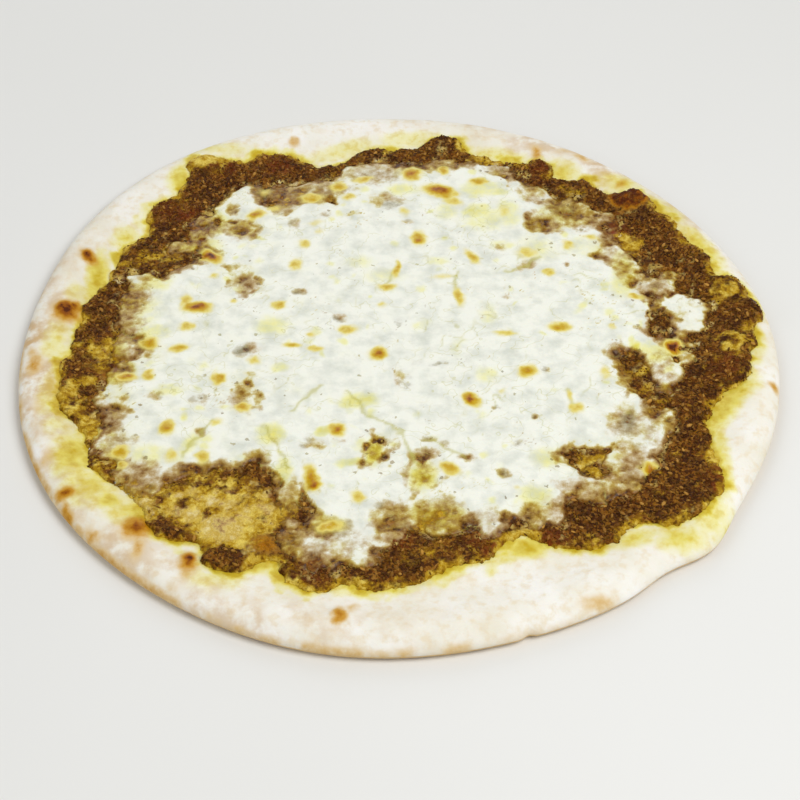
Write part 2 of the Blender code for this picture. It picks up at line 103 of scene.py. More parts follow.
# Browned spots, stretches of the edge that are toasted, and stretches a little browner, which on the left
# side are partly painted shade.
BREAD_TOASTS = (
    (-133, 20.4, 5.6, 6.2, 30, 1.02), (-130.5, 24, 3, 3, 0, 0.95), (-129, 22.4, 3.2, 3.6, 0, 0.54),
    (-128.2, 52.9, 5.6, 3, -50, 0.95), (-46.3, 131.4, 2.6, 3.2, 0, 0.38), (-34.5, 137.9, 5, 3, 0, 0.12),
    (-141.5, -10.6, 3.4, 6.2, 0, 0.53), (-143.5, -3.6, 3, 4, 0, 0.29), (-121.3, -76.6, 4, 3.2, 20, 0.96),
    (-119.5, -85.6, 2.2, 6, 20, 0.66), (-93.8, -93.1, 6, 5.8, 0, 0.86), (-92, -102.6, 2.8, 6.4, 0, 0.46),
    (-73.8, -108.1, 2.6, 4.6, 0, 1), (-74, -110.6, 4, 7, 0, 0.5), (-79, -120.6, 3, 3.4, 0, 0.2),
    (-20.6, -133.2, 2.8, 4.6, 0, 0.77), (-15.5, -128.1, 2.6, 3.2, -40, 0.29),
    (60.3, 123.4, 2.6, 6.2, 0, 0.5), (73, 124.9, 4.5, 2.5, -25, 0.24), (80.5, 119.9, 5.5, 3, -35, 0.36),
    (95.5, 101.4, 2.4, 4.4, -30, 0.41), (144.5, -21.6, 1.8, 3.4, 0, 0.55), (69, -126.2, 8.5, 3, 12, 0.3),
    (60, -133.6, 7, 2.4, 15, 0.19), (-130.5, -59.6, 3, 7, 0, 0.24), (-109.5, -96.1, 4.2, 3.2, -40, 0.43),
    (-93, -113.4, 3.4, 2.2, -30, 0.42), (-137, -31.6, 3, 8, 5, 0.22), (8, -124.6, 3, 1.6, 20, 0.12),
)
EDGE_TOASTS = ((215, 20, 0.23), (248, 18, 0.16), (275, 16, 0.12), (188, 22, 0.17), (48, 14, 0.12))
BLUSHES_AND_SHADE = ((183, 24, 1.1), (222, 22, 0.66), (55, 26, 0.85), (255, 18, 0.6))
# Oil pooled on it.
OIL_POOLS = (
    (-123, 40.8, 3.4, 12, 0, 0.95), (-130, 31.8, 4, 5, 0, 0.35), (-114, 66.8, 5, 5, 0, 0.55),
    (-94.5, 104.8, 4, 7, 0, 0.8), (-80, 125.8, 13, 4, 0, 0.3), (-133, -26.2, 4, 10, 0, 0.4),
    (-128, -42.2, 6, 7, 0, 0.26), (-121, -57.2, 6, 10, 0, 0.85), (-113, -73.2, 8, 9, 40, 0.6),
    (-105, -79.7, 4, 4, 0, 0.9), (-95, -85.2, 9, 6, 0, 0.55), (-52, -107.2, 9, 4, 0, 0.9),
    (-64, -116.2, 9, 5, 0, 0.3), (-20, -117.2, 5, 4, 0, 0.45), (46, -99.7, 7, 4, 15, 0.9),
    (84, -97.2, 8, 4, 10, 0.55), (100, -98.2, 8, 5, 0, 0.6), (113, -89.2, 8, 8, 0, 0.42),
    (119, -56.2, 3, 16, 0, 0.55), (124, -32.2, 4.5, 14, -35, 0.8), (133, -21.2, 6, 4, 30, 0.5),
    (139, 1.8, 4, 6, 0, 0.5), (125, 60.8, 4, 12, 30, 0.65), (112, 82.8, 5, 8, 40, 0.45),
    (95, 101.8, 8, 5, -30, 0.5), (70.5, 109.8, 6, 6, 0, 0.58), (45, 121.8, 10, 4, -20, 0.4),
    (5, 133.8, 12, 4, 0, 0.35), (-25, 126.8, 12, 4, 20, 0.4), (-135, 3.8, 5, 10, 0, 0.4),
)

# --- Zaatar paste ---------------------------------------------------------------------------------
PASTE_THICKNESS = 0.0015
PASTE_ROUNDING = 0.0026  # its edge is rounded over this far
PASTE_SMOOTHING = 0.0084  # the solid's outline is smoothed over this far
PASTE_CRUMBLE = ((0.0008, 0.0090, 5), (0.0007, 0.0040, 6), (0.0003, 0.0014, 7))  # waves of its edge
# Grit in it: how many bumps, their radius and height.
GRITS = 15000
GRIT_SIZES = (0.0008, 0.0016)
GRIT_HEIGHTS = (0.0002, 0.0007)
# Round lobes that fill its outline out, and bites out of it.
PASTE_LOBES = (
    (137.5, 19.5, 8, 8, 0), (131.5, 32.5, 8.5, 8.5, 0), (132, 3.5, 8.5, 8.5, 0), (129.5, -11, 7.5, 7.5, 0),
    (19.5, 127.2, 7.5, 7, 0), (45, 113.8, 6, 5, 0), (36, 117.8, 5, 5, 0), (2, 120.8, 7, 6, 0),
    (-8, 120.3, 6.5, 6.5, 0), (-30, 109.8, 6, 6, 0), (-50, 117.3, 7, 6, 0), (-60, 116.8, 5.5, 5.5, 0),
    (-68, 111.8, 6, 6, 0), (-85, 113.8, 6.6, 6.4, 0), (110, -46, 7, 7, 0), (61, 112, 6, 6, 0),
    (-61, -105, 7.5, 6.5, 0), (-30, -113, 7, 7, 0), (-9, -112.5, 8, 6.5, 0),
)
PASTE_BITES = (
    (44, -102.5, 9, 8.5, 0), (-47, -112, 6.5, 6, 0), (-20, -121.5, 6, 4, 0), (88, -97, 9, 4, 15),
    (-74, -104, 4.5, 6, 0),
)
# Dough bubbles that lift it, the first few with a dark ring round the foot.
RINGED_BUBBLES = ((98.5, 90.6, 8.5, 2.2), (131.5, 31.6, 7.8, 1.5), (130, 2.6, 8, 1.3))
PASTE_BUBBLES = (*RINGED_BUBBLES, (-84.6, 113.8, 7, 1.1), (-47, -99.4, 6.6, 1), (-128, -25.4, 5.8, 0.8))
# Where it is browned all over a bubble, and in lesser spots.
BROWNED_BUBBLES = ((98, 91.5, 8.2, 8, 0, 0.97), (97, 93, 5, 4, 0, 1.1))
PASTE_TOASTS = ((-47.2, -100, 5, 4.4, 0, 0.8), (-128, -25.4, 5, 5, 0, 0.08), (-110, -15, 6, 2.6, -12, 0.7))
# Where it is thin, oily and golden.
GOLDEN_PATCHES = (
    (-85, 116.6, 7, 6, 0, 1.6), (-100, 53.6, 13, 6, 18, 0.56), (-113, -1.4, 7, 9, 0, 0.95),
    (-128, -25.4, 5, 5.5, 0, 1.2), (-124, -33.4, 7, 6, 0, 1), (-127, 1.6, 3.4, 3.4, 0, 0.8),
    (-116, -46, 4.4, 5, 0, 1.05), (-110, -67.4, 6, 9, 0, 0.6), (-103, -58.4, 5, 6, 0, 0.85),
    (-71, -77.4, 26, 11, -4, 1.05), (-88, -83.4, 10, 8, 0, 1.1), (-56, -93.4, 8, 12, 0, 1.35),
    (-44, -108.4, 5, 4, 0, 0.9), (-74, -86.4, 8, 6, 0, 1.2), (-70, -92, 6, 4.4, 0, 1.25),
    (-66, -98, 5, 4.4, 0, 1.15), (-24, -91.4, 6, 4, 0, 0.62), (12, -89.4, 6, 8, 0, 0.85),
    (14, -83.4, 8, 5, 0, 0.55), (96, 63.6, 6, 6, 0, 0.95), (93, 50.6, 3, 9, 0, 0.6),
    (93, -14.4, 4.5, 11, 0, 0.58), (96, -29.4, 5, 8, 0, 0.45), (72, -61.4, 6, 7, 0, 0.75),
    (131, 2.6, 7, 7, 0, 1.1), (137, 8.6, 4, 5, 0, 0.6), (132, 30.6, 6, 6, 0, 0.95),
    (101, -90.4, 8, 6, 0, 0.52), (116.5, -58.4, 2.6, 10, 0, 0.7), (84, -95.4, 7, 3.4, 10, 0.75),
    (45, -96.4, 7, 4, 10, 0.85), (78, 102.6, 7, 3.4, -15, 0.42), (75, 97.6, 7, 4, 0, 0.45),
    (34, 120.6, 5.5, 4.5, -40, 0.8), (29, 124.6, 4, 3, -40, 0.55), (-22, 111.6, 8, 4, 20, 0.35),
    (107, 36.6, 6, 8, 0, 0.45), (-53, 86.6, 6, 5, 0, 0.6), (-52, -85.4, 14, 10, 0, 1.2),
    (-95, -81.4, 8, 6, -40, 0.9), (-36, -96.4, 6, 8, 0, 0.45), (-115, -1.4, 7, 8, 0, 0.9),
    (-117, -10, 5, 4, 0, 0.7), (-117, -40, 4, 4.4, 0, 0.9), (-120, -18.5, 4, 4, 0, 0.8),
    (-40, 95, 10, 6, 10, 0.75), (103, -4.4, 4, 4, 0, 0.3), (50, -89.4, 4, 5, 0, 0.5),
    (12, -105, 18, 5, 10, 0.4),
)
# Where it is redder, from sumac and browning.
REDDISH_PATCHES = (
    (-90, 81.6, 6, 4, 0, 0.8), (-83, 68.6, 4.5, 3.5, 0, 1), (-75, 111.6, 5, 5, 0, 0.5),
    (-52, 114.6, 7, 6, 0, 0.6), (0, -98.4, 5, 4, 0, 0.7), (-10, -91.4, 3, 3, 0, 0.8),
    (32, -99.4, 6, 5, 0, 0.9), (54, -97.4, 5, 4, 0, 0.9), (91, 70.6, 4.5, 4, 0, 0.9),
    (117, -73.4, 4, 7, 0, 0.8), (62, 110.6, 7, 6, 0, 0.5), (98, 94.6, 7, 4, 0, 0.6),
    (-108, -15.4, 8, 5, 0, 0.9), (108, 28.6, 5, 5, 0, 0.6), (128, -9.4, 6, 6, 0, 0.4),
    (-100, 83.6, 8, 8, 0, 0.35), (5, 108.6, 4.4, 4.4, 0, 0.9), (-112, -14.4, 4, 3, 20, 1),
    (-106, -18.4, 4, 3, 20, 1), (-30, -113.4, 5, 5, 0, 0.4),
)
# Dark lumps that stand out of it where it is golden.
DARK_LUMPS = (
    (-88, -94.4, 4, 4, 0, 0.8), (-81, -91.5, 6, 3.6, -8, 0.42), (-61, -107.4, 8, 6, 0, 0.88),
    (-66, -75, 4, 2.6, -20, 0.6), (-57, -72, 4, 2.2, 30, 0.5), (-82, -69.4, 7, 5, -15, 0.9),
    (-72, -70.9, 4, 3, 0, 0.6), (-62, -66.4, 6, 2.2, 30, 0.9), (-54, -65.9, 5, 2.4, 0, 1),
    (-46, -68.9, 6, 2.8, -35, 1), (-88, -84.4, 3.4, 3, 0, 0.7), (-36, -101.4, 4, 6, 0, 0.7),
    (-44, -108.4, 2.4, 2.4, 0, 0.6), (-78, -79.4, 4, 2.4, 20, 0.5), (-68, -85.4, 3, 3, 0, 0.5),
    (-114, -52.4, 3.6, 3, 0, 0.7), (-117, -29.4, 4, 5, 0, 0.9), (-86, -77, 4, 3, 0, 0.55),
    (-107, -73.4, 3, 3, 0, 0.5), (76, -53.4, 5, 2, 0, 0.5), (64, -57.4, 4, 3.4, 0, 0.9),
    (77, -67.4, 3.4, 4, 0, 0.7), (91, -7.4, 4, 3, 0, 0.9), (97, -27.4, 4, 5, 0, 0.5),
    (131, 3.6, 3.4, 3.4, 0, 0.6), (-42.5, -77.4, 2.6, 6, 0, 0.8), (-38, -91.4, 5, 6, 0, 0.5),
)
# Where a film of cheese fat lies on it, beige and dull.
FILMS = (
    (-112, 28.6, 5, 7, 0, 0.75), (-112, 45, 4, 5, 0, 0.5), (-113, -35, 4, 5, 0, 0.8),
    (-77, 64.6, 4, 6, 0, 0.6), (-63, -92.4, 8, 7, 0, 1.5), (-74, -81.4, 16, 8, 0, 0.76),
    (-56, -84.4, 12, 9, 0, 0.76), (-91, -80.4, 7, 4.4, 0, 0.85), (-53, -101.4, 5, 7, 0, 0.77),
    (-67, -78.4, 4, 4, 0, 0.82), (-47, -77.4, 7, 6, 0, 0.6), (-80, -87.4, 5, 3, 0, 0.57),
    (-33, -96.4, 7, 6, 0, 0.6), (-57, 97.6, 5, 5, 0, 0.7), (45, -89.4, 6, 5, 0, 0.5),
    (88, 74.6, 5, 5, 0, 0.55), (106, 86.6, 3, 5, 0, 0.6), (100, 82.6, 6, 3, 0, 0.5),
    (107, 38.6, 5, 6, 0, 0.5), (104, 50, 4.6, 5, 0, 0.75), (118, 48, 4, 5, 0, 0.45),
    (52, -81.4, 5, 5, 0, 0.45), (-85, -73, 9, 3, 0, 0.4), (3, -86.4, 7, 6, 0, 0.6),
    (-8, 116.6, 12, 4, 5, 0.55), (75, 94.6, 8, 4, 0, 0.5), (112, 68.6, 5, 5, 0, 0.3),
    (-45, -85.4, 8, 7, 0, 0.75), (-60, -75.4, 12, 5, 0, 0.6), (-92, -79.4, 8, 6, -40, 0.6),
    (-82, 73, 7, 8, 0, 0.5), (-90, 61.6, 10, 6, 0, 0.55), (-50, 99.6, 10, 5, 0, 0.5),
    (20, 125.6, 4, 4, 0, 0.6), (-38, -96.4, 6, 8, 0, 0.5), (88, 76.6, 6, 7, 0, 0.5),
    (76, 90.6, 9, 5, -25, 0.6), (104, 40.6, 7, 6, 0, 0.5), (97, -34.4, 5, 6, 0, 0.5),
    (-40, -85, 5, 5, 0, 1.1),
)

# --- Cheese ---------------------------------------------------------------------------------------
CHEESE_THICKNESS = 0.0017
CHEESE_LEAST = 0.00012
CHEESE_HIDES = 0.0035  # this far in from its edge, the paste below has a plain mesh
CHEESE_RUNS = ((0.0014, 0.0120, 8), (0.0014, 0.0045, 9))  # waves of its edge
CHEESE_WAVES = ((0.00020, 0.022, 14), (0.00014, 0.008, 15, 4))
CREAM_WAVES = ((0.03, 0.016, 24), (0.03, 0.005, 26))
# Browned blisters.
BLISTERS = (
    (8.2, 65.3, 3.4, 5, 0, 0.6), (8, 63.2, 2.4, 2.4, 0, 0.76), (-77.6, 53.7, 5.4, 3.2, -42, 1),
    (-80.6, 22.5, 5.8, 3.2, 0, 0.92), (-85.6, 26.2, 2.6, 4.6, 0, 0.42), (-84, 11.3, 3.4, 3.2, 0, 0.4),
    (-32, -69.9, 2.9, 6.4, 8, 0.68), (-30.8, -73.1, 3, 2.6, 0, 0.82), (27.6, -29.3, 4.4, 2.9, -52, 0.9),
    (-8.2, -4.3, 3.6, 3.6, 0, 0.82), (50, -13.9, 3.9, 3.7, 0, 0.62), (-23.2, -45.3, 3.4, 3.3, 0, 0.74),
    (17.5, 95.7, 7.6, 4.2, -20, 0.84), (23, 89.2, 4.6, 3.4, -30, 0.4), (5.6, 107.2, 4.4, 4.6, 0, 0.76),
    (19.4, 110.7, 2.5, 4.2, 0, 0.54), (34.6, 102.7, 4.4, 2.7, 0, 0.58), (-60.4, 80.7, 4.2, 3.2, 30, 0.66),
    (64, 11.1, 4.6, 2.9, 0, 0.62), (107.8, 0.7, 3.9, 4.2, 0, 1), (-98, 1.7, 3.9, 3.4, -20, 0.62),
    (-86, -0.9, 4.6, 2.2, 20, 0.5), (-87, -44.3, 3, 4.2, 0, 0.62), (-15, -78.9, 2.9, 3.6, 10, 0.44),
    (-48.2, 23.7, 3.2, 2.7, -20, 0.46), (-42.2, 48.2, 2.8, 4.4, 0, 0.42), (-39.2, 61.3, 2.5, 3.2, 0, 0.44),
    (-26, 99.3, 3.6, 3.6, -30, 0.5), (-15.5, 104.1, 5.2, 2.6, 18, 0.44), (-21.4, 91.7, 3.2, 2.7, 0, 0.4),
    (-37.2, 91.7, 5.2, 3.4, 0, 0.46), (-20, 9.3, 4.2, 2.9, 0, 0.46), (-35, 6.5, 2.6, 2, 0, 0.28),
    (-42, 0.3, 4, 1.9, -3, 0.48), (-33, -1.1, 3.7, 1.7, -3, 0.42), (-56, -8.3, 3, 3, 40, 0.34),
    (-69.6, -18.1, 3, 3.6, 0, 0.6), (-96.6, -16.3, 2.9, 3.2, 0, 0.5), (-59, -32.9, 3.2, 2.9, 0, 0.56),
    (-103.2, -56.3, 3.2, 3.6, 0, 0.58), (-102, -62.3, 2.9, 2.2, 0, 0.44),
    (18.8, -64.7, 4.4, 2.8, -42, 0.58), (67.2, -33.9, 3, 3.4, 0, 0.42), (65.4, -27.3, 1.4, 3.6, 15, 0.3),
    (30, 53.3, 2.6, 5.4, 28, 0.44), (61.4, 43.5, 3.2, 2.5, -20, 0.4), (70.4, 60.7, 2.9, 2.9, 0, 0.38),
    (80.4, 65.5, 4.6, 2.3, 0, 0.32), (53, 55.7, 4.6, 4.2, 0, 0.34), (42.2, 7.1, 5.4, 1.9, 0, 0.37),
    (95.4, 29.5, 3.4, 2.2, 0, 0.44), (24.4, 28.7, 2.1, 6.2, 8, 0.44), (-0.8, 45.7, 1.9, 5.8, -6, 0.52),
    (-4.8, 34.5, 4.2, 2.6, 8, 0.46), (-6.6, 23.7, 2.6, 2, 10, 0.26), (-57.5, 96.3, 4.2, 4.2, 0, 0.22),
    (-115.5, -45.3, 3.3, 3.3, 0, 0.5), (92.8, -64.5, 3.6, 3.8, 0, 0.72), (80, -14.9, 2.5, 5, 0, 0.24),
    (84.4, 11.3, 2.4, 1.8, 0, 0.24), (-75.2, 41.3, 2.4, 2.3, 0, 0.3), (-66.4, 26.3, 2.2, 2.2, 0, 0.3),
    (-68.8, -41.5, 2.9, 2.2, 20, 0.3), (2.2, 82.3, 3, 3, 0, 0.28), (45, 82.7, 2.6, 4.4, 0, 0.26),
    (-35, 74.7, 4, 2.4, 10, 0.2), (-25, -92.3, 5.4, 3.2, 10, 0.52), (-33.5, 69.1, 2.4, 2.6, 0, 0.2),
    (39.6, -24.7, 2.4, 1.8, 20, 0.22), (18, 40.9, 6.2, 1.9, 8, 0.22), (-53, 85.3, 3.6, 3.4, 0, 0.36),
    (-71.5, -71.3, 4.4, 2.7, 0, 0.44), (-105, -16.5, 4.6, 2.2, -12, 0.72),
    (-72.5, -58.8, 2.9, 3.4, 0, 0.46), (-84.5, -58.3, 3, 4.4, 0, 0.3), (43, -74.3, 2, 1.8, 0, 0.2),
)
# Where oil from the paste stained it olive, and small stains spread at random near its middle.
OLIVE_STAINS = (
    (-15.6, -30.3, 6.4, 3.8, 10, 0.62), (-48, -47.3, 4.6, 4.6, 20, 0.62), (-9.4, -56.3, 2.8, 5.4, 0, 0.95),
    (-15.5, -61.5, 6, 1.8, 12, 0.62), (8.8, -68.3, 4.2, 6, 0, 0.85), (9.2, -68.7, 1.8, 3.4, 0, 1),
    (-27.6, -45.5, 3.4, 2.2, 20, 0.7), (54, -59.3, 5, 5, 0, 0.34), (-42.2, -65.3, 3, 6.5, 0, 0.4),
    (-66.2, 71.1, 4, 3.4, 0, 1), (-50, 11.7, 6, 5, 0, 0.36), (-46, -12.3, 3.4, 2.4, 0, 0.42),
    (33, 82.3, 5.6, 4.4, 25, 0.55), (36, 77.7, 9, 8, 0, 0.32), (46, 81.7, 5, 9, 0, 0.36),
    (43, 95.2, 4.2, 2.4, 0, 0.4), (35, 97.7, 7.4, 4.4, 0, 0.5), (2, 97.1, 6, 3.6, 0, 0.5),
    (5, 110.7, 6, 5, 0, 0.4), (16, 50.7, 5, 2.4, 0, 0.3), (-16, 49.7, 6, 3.6, 0, 0.26),
    (-7, 41.3, 8, 4.6, 0, 0.24), (34, -16.3, 4.4, 4.4, 0, 0.3), (36, 18.7, 3.4, 6.4, 0, 0.26),
    (9, 12.1, 4.4, 2.4, 30, 0.26), (22.6, -1.3, 2.4, 6, 0, 0.2), (-88, -24.3, 6, 2.6, 10, 0.3),
    (-104, 19.7, 7, 13, 0, 0.25), (-99, 37.7, 6, 5, 0, 0.4), (-98, 7.7, 6, 4, 0, 0.4),
    (-113, -2.3, 5, 7, 0, 0.6), (-78, -52.3, 8, 3, 60, 0.34), (92.8, -0.1, 2.4, 2.4, 0, 0.75),
    (100, -3.3, 6, 5, 0, 0.46), (90, 35.7, 4, 7, 0, 0.4), (92, 45.7, 4, 9, 0, 0.7),
    (76, 59.7, 10, 6, 0, 0.2), (57, 57.7, 9, 8, 0, 0.24), (74, 23.7, 5, 1.6, 50, 0.34),
    (14, -88, 8, 6, 0, 0.8), (-108, -14, 5, 5, 0, 0.8), (-26, -92, 6, 4, 0, 0.6), (-80, 74, 6, 7, 0, 0.7),
    (-85, 59.7, 9, 6, 0, 0.5), (60, 75.7, 4.6, 4, 0, 0.6), (68, 79.7, 9, 7, 0, 0.44),
    (20, 81.7, 5, 5, 0, 0.3), (43, 60.7, 5, 3, 0, 0.3), (50, -78.3, 6, 5, 0, 0.42),
    (-92, -58.3, 6, 5, 0, 0.3),
)
SMALL_STAINS = 230
STAINED_HALF = 112  # how near
STAIN_SIZES = (0.8, 2.4)
STAIN_STRENGTHS = (0.10, 0.40)
# Where it is thin and the paste shows through it.
THIN_PATCHES = (
    (-62, 38, 7, 5, -55, 0.98), (-66, 71, 6, 5.4, 0, 0.95), (-60, -27, 9, 4.6, 80, 0.7),
    (-60, -2, 6, 3.8, 25, 0.62), (-70, 84.3, 3, 4.2, 0, 1), (-43, 96, 8, 5.5, 10, 1),
    (9.5, -67, 4, 6, 0, 0.6), (-9, -56, 3, 5, 0, 0.45), (-4, 89.7, 9, 6, 0, 0.42),
    (-5, 109.7, 3, 3, 0, 0.8), (16, -9.6, 3, 1.6, 0, 0.72), (9, -9.3, 7, 3, 0, 0.2),
    (2, -19.3, 4.4, 6.4, 20, 0.36), (52, 48, 6.5, 3, 35, 0.66), (86, -41, 8, 9, 0, 0.8),
    (11, -49.9, 3.4, 2.1, 0, 0.62), (17, -53.3, 2, 3, 30, 0.45), (24.8, -59.3, 3.2, 2, 0, 0.75),
    (39, -67.3, 2.5, 2.5, 0, 0.8), (44, -52.3, 2.7, 2.6, 0, 0.5), (-45, -51.3, 5, 4, 0, 0.22),
    (-32, -52.3, 6, 4, 0, 0.42), (-22, -50.7, 4, 2, 0, 0.36), (-23, 16.7, 3, 4, 0, 0.46),
    (-40, 31.7, 3, 2, 0, 0.62), (-93, -27.3, 5, 3, 0, 0.4), (-76, -29.3, 4, 4, 0, 0.36),
    (-74, -45.8, 2.2, 2.6, 0, 0.55), (52, -38.3, 2.2, 1.9, 30, 0.75), (57, -12.9, 1.8, 2.2, 0, 0.6),
    (69, 48.7, 1.5, 1.7, 0, 0.8), (37, -33.7, 1.9, 1.7, 0, 0.5), (99, 41.7, 3, 4, 0, 0.6),
    (43, 28.7, 3, 2, 0, 0.3), (4, 75.7, 3, 2.6, 0, 0.5), (-61, 67.7, 2.4, 2.8, 0, 0.8),
    (42, 59.3, 3, 2.4, 0, 0.5), (-31, 80.7, 3, 2.6, 0, 0.4), (-21, 80.7, 4, 2.4, 20, 0.4),
    (-44, 74.7, 3, 5, 0, 0.45), (0, 14.7, 2, 3, 0, 0.3), (-88, 47.7, 6, 5, 0, 0.45),
    (-103, 40.7, 7, 4, 0, 0.4),
)
# Films of it beyond the solid and over gaps in it. Those weaker than this end crisply.
VEIL_CRISP = 0.35
VEILS = (
    (-12, 109, 15, 8, 5, 0.46), (-35, 97, 14, 8, 15, 0.58), (-50, 93, 9, 8, 0, 0.92),
    (-68, 92, 6.5, 8, 0, 0.14), (-82, 73, 6.5, 8, 0, 0.95), (-88, 60, 8, 6, 0, 0.62),
    (-60, 100, 4, 3, 0, 0.95), (20, 116, 10, 4, 0, 0.62), (44, 111, 7, 4, -20, 0.54),
    (58, 95, 6, 7, 0, 0.5), (74, 82, 12, 9, -25, 0.77), (88, 78, 5, 6, 0, 0.68), (60, 75, 5.5, 5, 0, 0.9),
    (89, 67, 4, 6, 0, 0.95), (88, 58, 6, 7.5, 0, 0.36), (94, 48, 5, 11, 0, 0.54), (104, 36, 8, 7, 0, 0.62),
    (112, 42, 5, 4, 0, 0.86), (117.5, 19.5, 7.5, 11, -15, 0.2), (110, 4, 6, 5, 0, 0.66),
    (113, -4, 5, 6, 0, 0.42), (103, -11, 7, 10, 0, 0.28), (97, -34, 5, 6, 0, 0.82),
    (94, -46, 6, 9, 0, 0.32), (86, -57, 6, 8, 0, 0.52), (86, -69, 6, 6, 0, 0.7),
    (70, -75, 11, 5, -10, 0.68), (56, -85, 5, 6, 0, 0.5), (48, -87, 5, 5, 0, 0.8), (33, -90, 8, 6, 0, 0.36),
    (14, -88, 9, 8, 0, 0.7), (-2, -91, 7, 9, 0, 0.86), (-15, -101, 7.5, 9.5, 0, 0.18),
    (-29, -106, 7, 7, 0, 0.74), (-38, -96, 6, 8, 0, 0.8), (-26, -94, 8, 5, 0, 0.8),
    (-40, -78, 5, 9, 0, 0.46), (-97, -69, 8, 8, 0, 0.74), (-91, -72, 5, 4, 0, 0.75),
    (-106, -52, 8, 7, 0, 0.36), (-110, -38, 6, 5.5, 0, 0.66), (-110, -28, 6.5, 8, 0, 0.16),
    (-108, -14, 6, 6, 0, 0.7), (-108, 2, 6, 8, 0, 0.54), (-96, -4, 6.5, 4, 0, 0.2),
    (-108, 15, 6, 9, 0, 0.6), (-107, 29, 7, 9, 0, 0.7), (-104, 40, 8, 5, 10, 0.16),
    (-62, 38, 8.5, 6, -55, 0.25), (-66, 71, 7.5, 7, 90, 0.45), (-60, -27, 9.5, 5.5, 80, 0.2),
    (-60, -2, 7, 4.5, 25, 0.2), (9.5, -67, 9, 6, 85, 0.26), (-9, -56, 8.5, 5.5, 75, 0.2),
    (52, 49, 8, 5, 35, 0.1),
)
# Open gaps in it.
GAPS = (
    (104.5, 16.5, 4.6, 5, 0), (103, 10, 3.6, 3.6, 0), (88, -5.5, 2.6, 2.4, 0), (91, -12, 4, 5.5, 12),
    (94, -20, 4.2, 6, 10), (98, -27, 4, 5, 0), (66, -57, 4.6, 3.4, 0), (71.5, -60, 5.5, 5.5, 0),
    (75, -66, 4.6, 4, -40), (76, -55.5, 3, 2.8, 0), (-56, 90, 3.4, 3, 0),
)
# Strands of it stained by oil, from point to point.
STRANDS = (
    ((-19, -26), (-15, -30), (-13, -36), (-8, -40), (-2, -43), (2, -49), (4, -57), (8, -62)),
    ((-50, -44), (-46, -52), (-42, -60), (-41, -65)),
    ((-70, -40), (-76, -50), (-80, -58)),
    ((64, -24), (66, -30), (68, -35)),
    ((10, -50), (14, -51), (18, -55), (24, -59)),
    ((-30, -22), (-36, -28), (-40, -36)),
    ((24, 44), (22, 38), (24, 30)),
    ((44, 44), (52, 48), (58, 53)),
    ((-1, 50), (-2, 42), (-6, 36)),
)
# Half melted shreds all over it, and the finer ones that make lace of its thin parts.
SHRED_COUNT = 2600
SHRED_LENGTHS = (0.005, 0.015)
SHRED_WIDTHS = (0.0011, 0.0022)
SHRED_LEAST = 0.35  # the strength of the weakest
SHRED_BEND = 60  # the most they curve, per metre
LACE_COUNT = 3600
LACE_LENGTHS = (0.004, 0.012)
LACE_WIDTHS = (0.0008, 0.0015)
LACE_LEAST = 0.6
SHRED_BLUR = 0.0009


# --- Fields of the plan ---------------------------------------------------------------------------
def ease(share):
    """0 below 0, 1 above 1, and a smooth step between them."""
    share = np.clip(share, 0, 1)
    return share * share * (3 - 2 * share)


def fading(depth, reach):
    """1 at an edge, fading to 0 this far in from it."""
    return ease(1 - depth / reach)


def pairs(x, y):
    return zip(x.ravel().tolist(), y.ravel().tolist())


def hills(x, y, size, seed):
    """Smooth random relief from about -1 to 1, with its hills this far apart."""
    ways = np.random.default_rng(seed).uniform(0, math.tau, (NOISE_TILE, NOISE_TILE))
    u, v = x / size + 0.37 * seed, y / size + 0.71 * seed
    i, j = np.floor(u).astype(int), np.floor(v).astype(int)
    u, v = u - i, v - j

    def corner(across, up):
        way = ways[(i + across) % NOISE_TILE, (j + up) % NOISE_TILE]
        return np.cos(way) * (u - across) + np.sin(way) * (v - up)

    near = corner(0, 0) + ease(u) * (corner(1, 0) - corner(0, 0))
    far = corner(0, 1) + ease(u) * (corner(1, 1) - corner(0, 1))
    return 2.4 * (near + ease(v) * (far - near))


def clouds(x, y, size, seed, octaves=3):
    """Hills with smaller hills on them."""
    layers = (hills(x, y, size / 2**n, seed + 17 * n) / 2**n for n in range(octaves))
    return 1.4 * sum(layers) / (2 - 0.5 ** (octaves - 1))


def waves(x, y, layers):
    """Clouds of several sizes on top of each other."""
    return sum(height * clouds(x, y, *form) for height, *form in layers)


def drifts(start, reach, size, seed, x=X, y=Y):
    """Soft patches from 0 to 1."""
    return ease(start + reach * clouds(x, y, size, seed))


def winding_lines(size, seed, octaves, width):
    """Thin lines that wind all over the plan."""
    return fading(np.abs(clouds(X, Y, size, seed, octaves)), width)


def blurred(field, reach):
    """A field smoothed over about this far, by three box averages each way."""
    half = max(1, int(round(reach / PLAN_STEP / 2)))
    for _ in range(3):
        for axis in (0, 1):
            wide = np.pad(field, [(half + 1, half) if a == axis else (0, 0) for a in (0, 1)], mode="edge")
            run = np.cumsum(wide, axis=axis)
            high = np.take(run, range(2 * half + 1, run.shape[axis]), axis=axis)
            low = np.take(run, range(run.shape[axis] - 2 * half - 1), axis=axis)
            field = (high - low) / (2 * half + 1)
    return field


def window(x, y, reach):
    """The part of the plan this near a place."""
    column, row = (int(round((at + PLAN_HALF) / PLAN_STEP)) for at in (x, y))
    half = int(reach / PLAN_STEP) + 1
    return slice(max(0, row - half), row + half + 1), slice(max(0, column - half), column + half + 1)


def stamp(field, x, y, reach, shape, join=np.maximum):
    """Joins a small shape, a function of the way from its middle, into a field."""
    view = window(x, y, reach)
    field[view] = join(field[view], shape(X[view] - x, Y[view] - y))


def oval(across, up, length, width, turn):
    """How far out in an oval a point lies: 0 in its middle and 1 on its edge."""
    cos, sin = math.cos(math.radians(turn)), math.sin(math.radians(turn))
    return np.hypot((across * cos + up * sin) / length, (up * cos - across * sin) / width)


